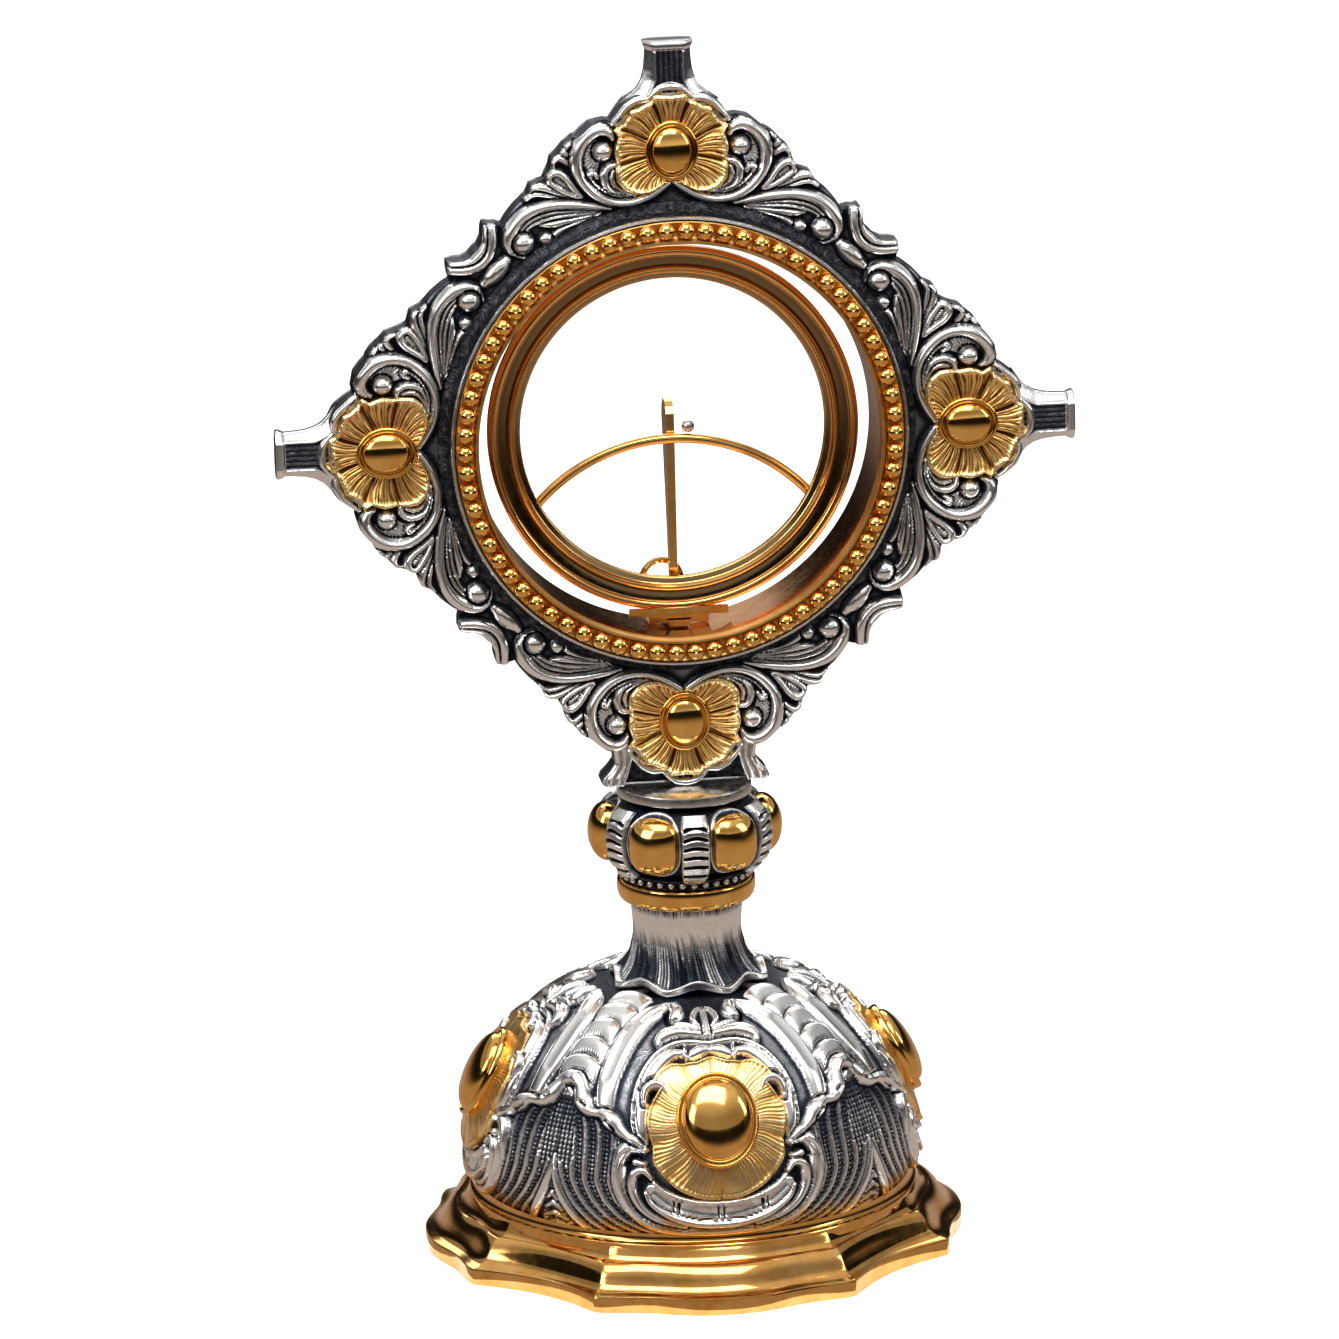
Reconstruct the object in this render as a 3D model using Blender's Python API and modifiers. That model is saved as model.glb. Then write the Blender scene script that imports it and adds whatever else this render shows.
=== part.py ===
"""Monstrance: domed foot, stem with knop, lozenge frame, and a sliding luna with its swing clamp.

Sizes are in millimetres and MM turns them into metres. +Z is up and the front faces -Y.
The origin is on the ground, under the middle of the stem.
"""
import math

import bmesh
import bpy
from mathutils import Matrix, Vector

MM = 0.001
GAP = 0.3                # clearance between neighbouring pieces
MERGE = 0.00001          # merge distance of the Screw modifiers, in metres

# Heights of the stand
FOOT_EDGE = 4.2          # height of the foot's upright rim
FOOT_TOP = 15.15         # the seat that the dome stands on
NECK_FOOT = 66.6
NECK_TOP = 87.7
BAND_TOP = 96.25
KNOP_MIDDLE = 106.0
KNOP_TOP = 114.95
COLLAR_TOP = 117.75
RING_HEIGHT = 206.9      # middle of the beaded ring and of the luna

# Foot outline
CORNER_RADIUS = 67.9
CORNER_ANGLE = 28.65     # degrees each side of a cartouche's axis
WIDE_LOBE_DIP = 2.0      # how far a wide lobe dips between its middle and its corners
NARROW_LOBE_RADIUS = 62.0
FOOT_INNER_RADIUS = 50.0

# Stem radii
ROD_RADIUS = 2.5
ROD_HOLE = 2.8
STEM_BORE = 12.0
COLLAR_RADIUS = 16.9
KNOP_BOSSES = 6
KNOP_BOSS_CENTRE = 19.6

# Frame and chamber; depths are measured forward of the stem's axis
CASTING_DEPTH = 3.0
ROSETTE_RADIUS = 72.2    # distance of each rosette from the ring's middle
ARM_TIP = 99.5
TUBE_INNER = 50.0
TUBE_OUTER = 51.2
TUBE_FRONT = 7.2
TUBE_BACK = -12.5
BEZEL_INNER = 51.6
SCREW_HOLE = 1.4

# Luna and clamp
LUNA_FRONT = -3.4
LUNA_BACK = -7.4
LUNA_OUTER = 46.2
LUNA_SEAT = 40.5
LUNA_OPENING = 38.0
HINGE_BACK = 11.0        # hinge pin's distance behind the stem's axis
HINGE_DROP = 43.0        # hinge pin's distance below the ring's middle
PIN_RADIUS = 0.8
PIN_HOLE = 1.1
BOW_RADIUS = 45.6
BOW_WIRE = 1.25
BOW_BACK = 9.0
BLADE_HALF = 1.0

STEPS_FINE = 60
STEPS_MEDIUM = 44
STEPS_COARSE = 28

UPRIGHT = (math.pi / 2, 0.0, 0.0)     # turns a piece drawn flat so that it faces the front


# ---------------------------------------------------------------- scene and helpers

def clear_scene():
    for item in list(bpy.data.objects):
        bpy.data.objects.remove(item, do_unlink=True)


def new_collection(name):
    collection = bpy.data.collections.new(name)
    bpy.context.scene.collection.children.link(collection)
    return collection


def new_material(name, colour, roughness, metallic=1.0):
    material = bpy.data.materials.new(name)
    material.use_nodes = True
    shader = material.node_tree.nodes["Principled BSDF"]
    shader.inputs["Base Color"].default_value = (*colour, 1.0)
    shader.inputs["Roughness"].default_value = roughness
    shader.inputs["Metallic"].default_value = metallic
    return material


def add(name, data, material, collection=None):
    item = bpy.data.objects.new(name, data)
    (collection or PARTS).objects.link(item)
    if material:
        data.materials.append(material)
    return item


def as_cutter(item):
    item.hide_render = True
    item.display_type = "WIRE"
    return item


def boolean(item, cutter, operation="DIFFERENCE"):
    modifier = item.modifiers.new(operation.title(), "BOOLEAN")
    modifier.operation = operation
    modifier.solver = "EXACT"
    modifier.object = cutter
    return item


def turned(name, profile, steps, material, faces_front=False, collection=None):
    """Turn a closed (radius, height) profile, drawn down its outer side, about the Z axis."""
    mesh = bpy.data.meshes.new(name)
    points = [(radius * MM, 0.0, height * MM) for radius, height in profile]
    on_axis = profile[0][0] == 0
    edges = [(i, i + 1) for i in range(len(points) - 1)]
    if not on_axis:
        edges.append((len(points) - 1, 0))
    mesh.from_pydata(points, edges, [])
    item = add(name, mesh, material, collection)
    screw = item.modifiers.new("Turn", "SCREW")
    screw.steps = steps
    screw.render_steps = steps
    screw.use_merge_vertices = on_axis
    screw.merge_threshold = MERGE
    screw.use_smooth_shade = True
    if faces_front:
        item.rotation_euler = UPRIGHT
        item.location.z = RING_HEIGHT * MM
    return item


def plate(name, outlines, thickness, material, collection=None):
    """A flat plate of the given closed outlines, the first outside and the others holes."""
    curve = bpy.data.curves.new(name, "CURVE")
    curve.dimensions = "2D"
    curve.fill_mode = "BOTH"
    curve.extrude = thickness / 2 * MM
    for outline in outlines:
        spline = curve.splines.new("POLY")
        spline.points.add(len(outline) - 1)
        for point, (across, up) in zip(spline.points, outline):
            point.co = (across * MM, up * MM, 0.0, 1.0)
        spline.use_cyclic_u = True
    return add(name, curve, material, collection)


def wire(name, points, radius, material):
    curve = bpy.data.curves.new(name, "CURVE")
    curve.dimensions = "3D"
    curve.bevel_depth = radius * MM
    curve.bevel_resolution = 2
    curve.use_fill_caps = True
    spline = curve.splines.new("POLY")
    spline.points.add(len(points) - 1)
    for point, place in zip(spline.points, points):
        point.co = (*(Vector(place) * MM), 1.0)
    return add(name, curve, material)


def as_mesh(item):
    """Replace a curve object with its mesh, so that a Boolean can work on it."""
    bpy.context.view_layer.update()
    evaluated = item.evaluated_get(bpy.context.evaluated_depsgraph_get())
    mesh = bpy.data.meshes.new_from_object(evaluated)
    shape = bmesh.new()
    shape.from_mesh(mesh)
    bmesh.ops.remove_doubles(shape, verts=shape.verts, dist=MERGE)
    shape.to_mesh(mesh)
    shape.free()
    name = item.name
    collection = item.users_collection[0]
    matrix = item.matrix_world.copy()
    bpy.data.objects.remove(item, do_unlink=True)
    result = bpy.data.objects.new(name, mesh)
    collection.objects.link(result)
    result.matrix_world = matrix
    return result


def block(name, size, centre, material, collection=None):
    shape = bmesh.new()
    bmesh.ops.create_cube(shape, size=1.0)
    bmesh.ops.scale(shape, vec=Vector(size) * MM, verts=shape.verts)
    mesh = bpy.data.meshes.new(name)
    shape.to_mesh(mesh)
    shape.free()
    item = add(name, mesh, material, collection)
    item.location = Vector(centre) * MM
    return item


def ellipsoid(name, radii, segments, rings, material):
    shape = bmesh.new()
    bmesh.ops.create_uvsphere(shape, u_segments=segments, v_segments=rings, radius=1.0)
    bmesh.ops.scale(shape, vec=Vector(radii) * MM, verts=shape.verts)
    mesh = bpy.data.meshes.new(name)
    shape.to_mesh(mesh)
    shape.free()
    mesh.shade_smooth()
    return add(name, mesh, material)


def circle(radius, count, centre=(0.0, 0.0)):
    turns = [2 * math.pi * i / count for i in range(count)]
    return [(centre[0] + radius * math.cos(t), centre[1] + radius * math.sin(t)) for t in turns]


def offset(profile, distance):
    """Move an open profile outward by a distance, square to its own run."""
    moved = []
    for i, point in enumerate(profile):
        before = Vector(profile[max(i - 1, 0)])
        after = Vector(profile[min(i + 1, len(profile) - 1)])
        run = (after - before).normalized()
        moved.append((point[0] - run.y * distance, point[1] + run.x * distance))
    return moved


# ---------------------------------------------------------------- stand

DOME = [(20.5, 66.25), (29.5, 64.0), (37.8, 59.3), (45.2, 52.8), (52.2, 41.8), (55.4, 32.5),
        (56.2, 25.5), (55.2, 19.5), (52.2, 15.5)]
DOME_STEPS = 40
DOME_WALL = 1.2
CARTOUCHE_RADIUS = 50.4
CARTOUCHE_HEIGHT = 44.6
CARTOUCHE_TILT = math.radians(33.7)      # the dome's outward slope above level there
SIDES = {"front": -90.0, "right": 0.0, "back": 90.0, "left": 180.0}


def foot_outline():
    """(angle, radius) round the foot: a wide bulging lobe and a narrow hollow one, four times."""
    wide_steps = 8
    narrow_steps = 4
    corner = CORNER_ANGLE
    outline = []
    for side in range(4):
        middle = side * 90.0
        for i in range(wide_steps):
            s = 2 * i / wide_steps - 1
            dip = WIDE_LOBE_DIP * math.sin(math.pi * abs(s) ** 1.4) ** 2
            outline.append((middle + s * corner, CORNER_RADIUS - dip))
        for i in range(narrow_steps):
            s = 2 * i / narrow_steps - 1
            radius = NARROW_LOBE_RADIUS + (CORNER_RADIUS - NARROW_LOBE_RADIUS) * s * s
            outline.append((middle + 45.0 + s * (45.0 - corner), radius))
    return outline


def make_foot():
    """Loft of one section carried from the lobed outline to a round seat, and back underneath."""
    section = [(0, 0), (0, FOOT_EDGE), (0.05, 4.6), (0.16, 5.4), (0.28, 7.0), (0.38, 8.9),
               (0.46, 10.0), (0.53, 10.2), (0.59, 9.9), (0.69, 11.3), (0.77, 13.2), (0.83, FOOT_TOP),
               (1, FOOT_TOP), (1, 13.4), (0.62, 8.2), (0.4, 6.4), (0.25, 2.6), (0.22, 0)]
    shape = bmesh.new()
    columns = []
    for angle, radius in foot_outline():
        turn = math.radians(angle)
        column = []
        for inward, height in section:
            r = radius + (FOOT_INNER_RADIUS - radius) * inward
            place = Vector((r * math.cos(turn), r * math.sin(turn), height)) * MM
            column.append(shape.verts.new(place))
        columns.append(column)
    for i, column in enumerate(columns):
        following = columns[(i + 1) % len(columns)]
        for j in range(len(section)):
            k = (j + 1) % len(section)
            shape.faces.new((column[j], following[j], following[k], column[k]))
    mesh = bpy.data.meshes.new("foot_plate")
    shape.to_mesh(mesh)
    shape.free()
    add("foot_plate", mesh, GILT)


def make_dome():
    inner = offset(DOME, -DOME_WALL)
    inner[0] = (DOME[0][0], DOME[0][1] - DOME_WALL)
    inner[-1] = (DOME[-1][0] - DOME_WALL, DOME[-1][1])
    profile = [(ROD_HOLE, DOME[0][1])] + DOME + inner[::-1] + [(ROD_HOLE, DOME[0][1] - DOME_WALL)]
    turned("base_dome", profile, DOME_STEPS, SILVER)


def dome_layer(name, low, high):
    """A guide shell that follows the dome between two distances outside it."""
    outer = offset(DOME, high)
    inner = offset(DOME, low) if low else [(0.0, DOME[-1][1])]
    if low:
        return as_cutter(turned(name, outer + inner[::-1], DOME_STEPS, None, collection=CUTTERS))
    solid = [(0.0, outer[0][1])] + outer + [(0.0, outer[-1][1])]
    return as_cutter(turned(name, solid, DOME_STEPS, None, collection=CUTTERS))


def petal_outline(half_across, half_up, lobes, depth, count):
    points = []
    for i in range(count):
        turn = 2 * math.pi * i / count
        swell = 1 + depth * (math.cos(lobes * turn) - 1)
        points.append((half_across * swell * math.sin(turn), half_up * swell * math.cos(turn)))
    return points


def on_dome(angle):
    """Placement on the dome: local X runs round it, Y up its slope and Z out of it."""
    turn = Matrix.Rotation(math.radians(angle), 4, "Z")
    place = Matrix.Translation(Vector((CARTOUCHE_RADIUS, 0.0, CARTOUCHE_HEIGHT)) * MM)
    tip = Matrix.Rotation(math.pi / 2 - CARTOUCHE_TILT, 4, "Y")
    quarter = Matrix.Rotation(math.pi / 2, 4, "Z")
    return turn @ place @ tip @ quarter


def make_cartouches():
    layer = dome_layer("cartouche_layer", GAP, 1.5)
    core = dome_layer("boss_core", 0.0, 1.8)
    field = [(x, y - 1.6) for x, y in petal_outline(15.8, 17.2, 8, 0.06, 32)]
    for side, angle in SIDES.items():
        petals = as_mesh(plate("cartouche_" + side, [field], 16.0, None))
        petals.matrix_world = on_dome(angle)
        petals.data.materials.append(GILT_MATTE)
        boolean(petals, layer, "INTERSECT")
        boss = ellipsoid("cartouche_boss_" + side, (9.6, 11.4, 5.2), 20, 10, GILT)
        boss.matrix_world = on_dome(angle)
        boolean(boss, core)


def make_stem():
    turned("neck", [(13.0, NECK_TOP), (14.2, NECK_TOP), (13.65, 80.0), (14.0, 76.0), (14.75, 72.5),
                    (16.8, 69.6), (20.5, 67.4), (20.7, NECK_FOOT), (18.6, NECK_FOOT), (15.4, 68.9),
                    (13.3, 72.5), (12.5, 76.0), (12.3, 80.0)], STEPS_COARSE, SILVER)
    turned("stem_ring", [(STEM_BORE, 93.7), (15.6, 93.7), (17.2, 92.8), (17.5, 91.0), (17.1, 88.9),
                         (15.6, 88.05), (STEM_BORE, 88.05)], STEPS_COARSE, GILT)
    turned("bead_band", [(STEM_BORE, BAND_TOP), (16.2, BAND_TOP), (17.25, 95.1), (16.2, 94.0),
                         (STEM_BORE, 94.0)], STEPS_COARSE, OXIDISED)
    turned("collar_plate", [(ROD_HOLE, COLLAR_TOP), (16.6, COLLAR_TOP), (COLLAR_RADIUS, 117.4),
                            (COLLAR_RADIUS, 115.6), (16.6, 115.25), (ROD_HOLE, 115.25)],
           STEPS_COARSE, SATIN)
    turned("tie_rod", [(0, 117.4), (ROD_RADIUS, 117.4), (ROD_RADIUS, 55.0), (0, 55.0)], 16, SATIN)
    turned("tie_washer", [(ROD_HOLE, 64.7), (9.0, 64.7), (9.0, 63.2), (ROD_HOLE, 63.2)], 20, SATIN)
    turned("tie_nut", [(3.3, 62.9), (5.6, 62.9), (5.6, 58.9), (3.3, 58.9)], 6, SATIN)


KNOP_PROFILE = [(17.5, 113.3), (20.6, 110.4), (21.4, KNOP_MIDDLE), (20.6, 101.5), (17.5, 98.0)]


def make_knop():
    bottom = BAND_TOP + GAP
    turned("knop_core", [(STEM_BORE, KNOP_TOP), (14.6, KNOP_TOP), (14.6, 114.3)] + KNOP_PROFILE
           + [(15.0, bottom), (STEM_BORE, bottom)], STEPS_COARSE, OXIDISED)
    swollen = offset(KNOP_PROFILE, GAP)
    core = [(0.0, swollen[0][1])] + swollen + [(0.0, swollen[-1][1])]
    seat = as_cutter(turned("knop_seat", core, STEPS_COARSE, None, collection=CUTTERS))
    for i in range(KNOP_BOSSES):
        turn = math.radians(-90.0 + (i + 0.5) * 360.0 / KNOP_BOSSES)
        boss = ellipsoid(f"knop_boss_{i + 1}", (4.6, 6.0, 6.9), 16, 8, GILT)
        boss.location = Vector((math.cos(turn), math.sin(turn), 0.0)) * KNOP_BOSS_CENTRE * MM
        boss.location.z = KNOP_MIDDLE * MM
        boss.rotation_euler.z = turn
        boolean(boss, seat)


# ---------------------------------------------------------------- frame

ARM = [(6.4, ARM_TIP), (6.0, ARM_TIP - 1.6), (6.4, 94.5), (7.8, 91.0), (10.2, 87.8), (14.0, 84.6)]
SLOPE = [(18.5, 80.0), (23.5, 74.5), (29.5, 68.8), (36.0, 63.0), (44.0, 56.5), (49.8, 53.2)]
LEG_FOOT = COLLAR_TOP + GAP - RING_HEIGHT
LEG = [(19.0, LEG_FOOT), (18.2, -84.5), (20.0, -78.5)]
LOWER_SHARE = 0.97       # the lower slopes lie a little nearer the ring than the upper ones
CARDINAL = {"right": (1, 0), "top": (0, 1), "left": (-1, 0), "bottom": (0, -1)}


def frame_outline():
    """Lozenge with an arm right, left and up, and two spread legs at the bottom."""
    upper = ARM + SLOPE + [(z, x) for x, z in SLOPE[::-1]] + [(z, x) for x, z in ARM[::-1]]
    slope = SLOPE[1:] + [(z, x) for x, z in SLOPE[::-1]]
    lower = LEG + [(x * LOWER_SHARE, -z * LOWER_SHARE) for x, z in slope]
    right_half = lower + [(z, -x) for x, z in ARM[::-1]] + upper[::-1]
    return right_half + [(-x, z) for x, z in right_half[::-1]]


def make_castings():
    holes = [circle(BEZEL_INNER, STEPS_FINE)]
    for across, up in CARDINAL.values():
        holes.append(circle(SCREW_HOLE, 8, (across * ROSETTE_RADIUS, up * ROSETTE_RADIUS)))
    thickness = CASTING_DEPTH - GAP / 2
    middle = (CASTING_DEPTH + GAP / 2) / 2
    for name, depth in (("frame_front", -middle), ("frame_back", middle)):
        casting = plate(name, [frame_outline()] + holes, thickness, SILVER)
        casting.rotation_euler = UPRIGHT
        casting.location = Vector((0.0, depth, RING_HEIGHT)) * MM


def make_rosettes():
    head = CASTING_DEPTH + GAP
    for side, (across, up) in CARDINAL.items():
        radial = math.atan2(up, across) - math.pi / 2
        place = Vector((across * ROSETTE_RADIUS, 0.0, RING_HEIGHT + up * ROSETTE_RADIUS))
        petals = plate("rosette_" + side, [petal_outline(14.8, 12.4, 7, 0.06, 28)], 1.2, GILT_MATTE)
        petals.rotation_euler = (math.pi / 2, -radial, 0.0)
        petals.location = (place - Vector((0.0, head + 0.6, 0.0))) * MM
        boss = turned("rosette_boss_" + side, [(0, 2.7), (2.2, 2.5), (4.2, 1.8), (5.6, 0.8), (6.1, 0),
                                               (0, 0)], 20, GILT)
        boss.scale = (1.0, 1.16, 1.0)
        boss.rotation_euler = (math.pi / 2, -radial, 0.0)
        boss.location = (place - Vector((0.0, head + 1.2 + GAP, 0.0))) * MM
        screw = turned("back_screw_" + side, [(0, 2.7), (1.0, 2.7), (1.0, -head), (2.2, -head),
                                              (2.2, -head - 1.2), (0, -head - 1.2)], 12, SATIN)
        screw.rotation_euler = UPRIGHT
        screw.location = place * MM


def make_chamber():
    turned("chamber_tube", [(TUBE_INNER, TUBE_FRONT), (TUBE_OUTER, TUBE_FRONT),
                            (TUBE_OUTER, TUBE_BACK), (TUBE_INNER, TUBE_BACK)],
           STEPS_FINE, SATIN, faces_front=True)
    turned("bezel_front", [(BEZEL_INNER, TUBE_FRONT), (56.6, TUBE_FRONT), (56.6, 9.8), (57.2, 9.8),
                           (58.7, 6.6), (59.0, 3.3), (BEZEL_INNER, 3.3)],
           STEPS_MEDIUM, OXIDISED, faces_front=True)
    turned("bead_ring", [(50.7, 9.9), (51.5, 10.2), (52.1, 11.4), (53.35, 12.0), (54.6, 11.4),
                         (55.2, 10.1), (56.3, 9.9), (56.3, 7.5), (50.3, 7.5)],
           STEPS_MEDIUM, GILT, faces_front=True)
    turned("bezel_back", [(BEZEL_INNER, -3.3), (57.5, -3.3), (57.0, -6.5), (54.5, -9.0),
                          (53.2, -12.0), (BEZEL_INNER, -12.0)],
           STEPS_MEDIUM, SILVER, faces_front=True)


# ---------------------------------------------------------------- luna and clamp

RAIL_TOP = 47.9          # distance of the rail's top below the ring's middle
RAIL_FOOT = 49.4
RAIL_FRONT = 0.5
RAIL_BACK = 12.0
FOOT_FRONT = 1.9
FOOT_TOP_DROP = 45.8


def dovetail(top, bottom, ceiling, floor):
    """Dovetail section, wider at its top; heights are below the ring's middle."""
    return [(-top, -ceiling), (-bottom, -floor), (bottom, -floor), (top, -ceiling)]


def prism(name, outline, front, back, material, collection=None):
    """Extrude a section drawn in the frame's plane from front to back, as a mesh."""
    item = plate(name, [outline], back - front, material, collection)
    item.rotation_euler = UPRIGHT
    item.location = Vector((0.0, (front + back) / 2, RING_HEIGHT)) * MM
    return as_mesh(item)


def make_luna():
    rail = prism("luna_rail", dovetail(3.0, 2.2, RAIL_TOP, RAIL_FOOT), RAIL_FRONT, RAIL_BACK, SATIN)

    ring = turned("luna_ring", [(45.5, LUNA_FRONT), (LUNA_OUTER, -4.0), (LUNA_OUTER, LUNA_BACK),
                                (LUNA_SEAT, LUNA_BACK), (LUNA_SEAT, -5.7), (LUNA_OPENING, -5.7),
                                (LUNA_OPENING, -4.6), (39.2, -4.2), (40.2, -4.7), (41.2, -3.6),
                                (42.2, -3.6), (43.0, -4.3), (44.8, -4.1)],
                  STEPS_MEDIUM, GILT, faces_front=True)
    pocket = block("luna_pocket", (15.6, 8.0, 4.0), (0.0, 5.0, RING_HEIGHT - 47.5), None, CUTTERS)
    boolean(ring, as_cutter(pocket))

    body = [(-7.5, -FOOT_TOP_DROP), (-7.5, -48.8), (7.5, -48.8), (7.5, -FOOT_TOP_DROP)]
    foot = prism("luna_foot", body, FOOT_FRONT, 8.0, GILT)
    flange = [(-12.4, -45.0), (-12.4, -46.9), (12.4, -46.9), (12.4, -45.0)]
    boolean(foot, as_cutter(prism("foot_flange", flange, FOOT_FRONT - 0.1, 3.1, None, CUTTERS)), "UNION")
    slot = dovetail(3.3, 2.55, RAIL_TOP - GAP, 50.0)
    boolean(foot, as_cutter(prism("foot_slot", slot, -1.0, 14.0, None, CUTTERS)))

    base_back = 9.0
    bracket_back = HINGE_BACK + 1.9
    bracket_front = -LUNA_BACK + GAP
    bracket = block("hinge_bracket", (8.0, bracket_back - bracket_front, 4.0),
                    (0.0, (bracket_back + bracket_front) / 2, RING_HEIGHT - HINGE_DROP), GILT)
    slot = block("bracket_slot", (4.4, 10.0, 10.0), (0.0, base_back + 5.0, RING_HEIGHT - HINGE_DROP),
                 None, CUTTERS)
    boolean(bracket, as_cutter(slot))
    across = (0.0, math.pi / 2, 0.0)
    hinge = Vector((0.0, HINGE_BACK, RING_HEIGHT - HINGE_DROP)) * MM
    bore = turned("pin_bore", [(0, 8), (PIN_HOLE, 8), (PIN_HOLE, -8), (0, -8)], 16, None,
                  collection=CUTTERS)
    bore.rotation_euler = across
    bore.location = hinge
    boolean(bracket, as_cutter(bore))
    pin = turned("hinge_pin", [(0, 4.4), (PIN_RADIUS, 4.4), (PIN_RADIUS, -4.4), (0, -4.4)], 16, SATIN)
    pin.rotation_euler = across
    pin.location = hinge


def blade_outline():
    """Lever seen from the side, as (distance back, height) from the hinge pin."""
    eye = 1.7
    nose = 4.9
    nose_back = 4.5
    nose_up = HINGE_DROP + 0.5
    points = [(-0.4, 2.6), (nose_back - nose, nose_up)]
    for i in range(1, 8):
        turn = math.pi - math.pi * i / 8
        points.append((nose_back + nose * math.cos(turn), nose_up + nose * math.sin(turn)))
    points += [(nose_back + nose, nose_up), (7.4, 33.0), (4.4, 18.0), (2.2, 5.0)]
    for i in range(9):
        turn = math.radians(20.0 - 27.5 * i)
        points.append((eye * math.cos(turn), eye * math.sin(turn)))
    return points


def make_clamp():
    hinge = Vector((0.0, HINGE_BACK, RING_HEIGHT - HINGE_DROP)) * MM
    blade = plate("clamp_blade", [blade_outline(), circle(PIN_HOLE, 16)], 2 * BLADE_HALF, GILT)
    blade.matrix_world = Matrix.Translation(hinge) @ Matrix(
        ((0, 0, 1, 0), (1, 0, 0, 0), (0, 1, 0, 0), (0, 0, 0, 1)))

    bow_middle = RING_HEIGHT - 49.0
    bow = []
    for i in range(21):
        turn = math.radians(-54.0 + 108.0 * i / 20)
        bow.append((BOW_RADIUS * math.sin(turn), BOW_BACK, bow_middle + BOW_RADIUS * math.cos(turn)))
    wire("clamp_bow", bow, BOW_WIRE, GILT)

    ball = ellipsoid("clamp_ball", (1.6, 1.6, 1.6), 12, 8, SATIN)
    ball.location = Vector((4.2, BOW_BACK, bow_middle + BOW_RADIUS - 0.2 + BOW_WIRE + 1.9)) * MM

    loop_middle = RING_HEIGHT - HINGE_DROP + 2.2
    loop = []
    for i in range(11):
        turn = math.pi * i / 10
        loop.append((-2.6 + 4.9 * math.cos(turn), 14.9, loop_middle + 5.0 * math.sin(turn)))
    wire("clamp_loop", loop, 0.8, GILT)


clear_scene()
PARTS = new_collection("monstrance")
CUTTERS = new_collection("cutters")
GILT = new_material("gilt", (0.83, 0.52, 0.16), 0.18)
GILT_MATTE = new_material("gilt_matte", (0.78, 0.5, 0.17), 0.45)
SILVER = new_material("silver", (0.72, 0.71, 0.68), 0.3)
OXIDISED = new_material("oxidised_silver", (0.16, 0.17, 0.18), 0.4)
SATIN = new_material("satin_nickel", (0.6, 0.56, 0.5), 0.35)

make_foot()
make_dome()
make_cartouches()
make_stem()
make_knop()
make_castings()
make_rosettes()
make_chamber()
make_luna()
make_clamp()
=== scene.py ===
import math

import bpy
import numpy as np
from mathutils import Matrix, Vector


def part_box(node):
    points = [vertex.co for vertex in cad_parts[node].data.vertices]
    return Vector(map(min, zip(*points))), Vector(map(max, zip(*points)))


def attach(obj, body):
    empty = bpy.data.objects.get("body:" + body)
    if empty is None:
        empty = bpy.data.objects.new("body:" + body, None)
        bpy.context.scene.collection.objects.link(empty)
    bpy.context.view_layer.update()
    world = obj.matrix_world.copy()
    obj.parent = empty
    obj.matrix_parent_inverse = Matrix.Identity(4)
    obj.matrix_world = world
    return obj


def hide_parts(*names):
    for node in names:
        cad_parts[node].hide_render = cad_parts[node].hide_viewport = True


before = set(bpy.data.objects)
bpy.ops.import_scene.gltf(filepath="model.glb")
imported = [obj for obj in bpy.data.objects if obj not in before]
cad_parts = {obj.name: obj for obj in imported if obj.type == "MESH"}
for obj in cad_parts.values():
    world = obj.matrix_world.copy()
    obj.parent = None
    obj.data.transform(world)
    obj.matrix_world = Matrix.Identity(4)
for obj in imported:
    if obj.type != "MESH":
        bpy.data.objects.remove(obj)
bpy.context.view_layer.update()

MM = 0.001
bead_low, bead_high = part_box("bead_ring")
RING = (bead_low.z + bead_high.z) / 2 / MM                  # height of the ring's middle
FACE = -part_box("frame_front")[0].y / MM                     # front of the cross casting
TAU = 2 * math.pi


# ---------------------------------------------------------------- materials

def gradient(nodes, stops):
    """A colour ramp; a stop's colour is three values, or one for a grey."""
    made = nodes.new("ShaderNodeValToRGB")
    elements = made.color_ramp.elements
    while len(elements) < len(stops):
        elements.new(0.5)
    for element, (place, colour) in zip(elements, stops):
        element.position = place
        element.color = (*(colour if isinstance(colour, tuple) else (colour,) * 3), 1)
    return made


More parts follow.
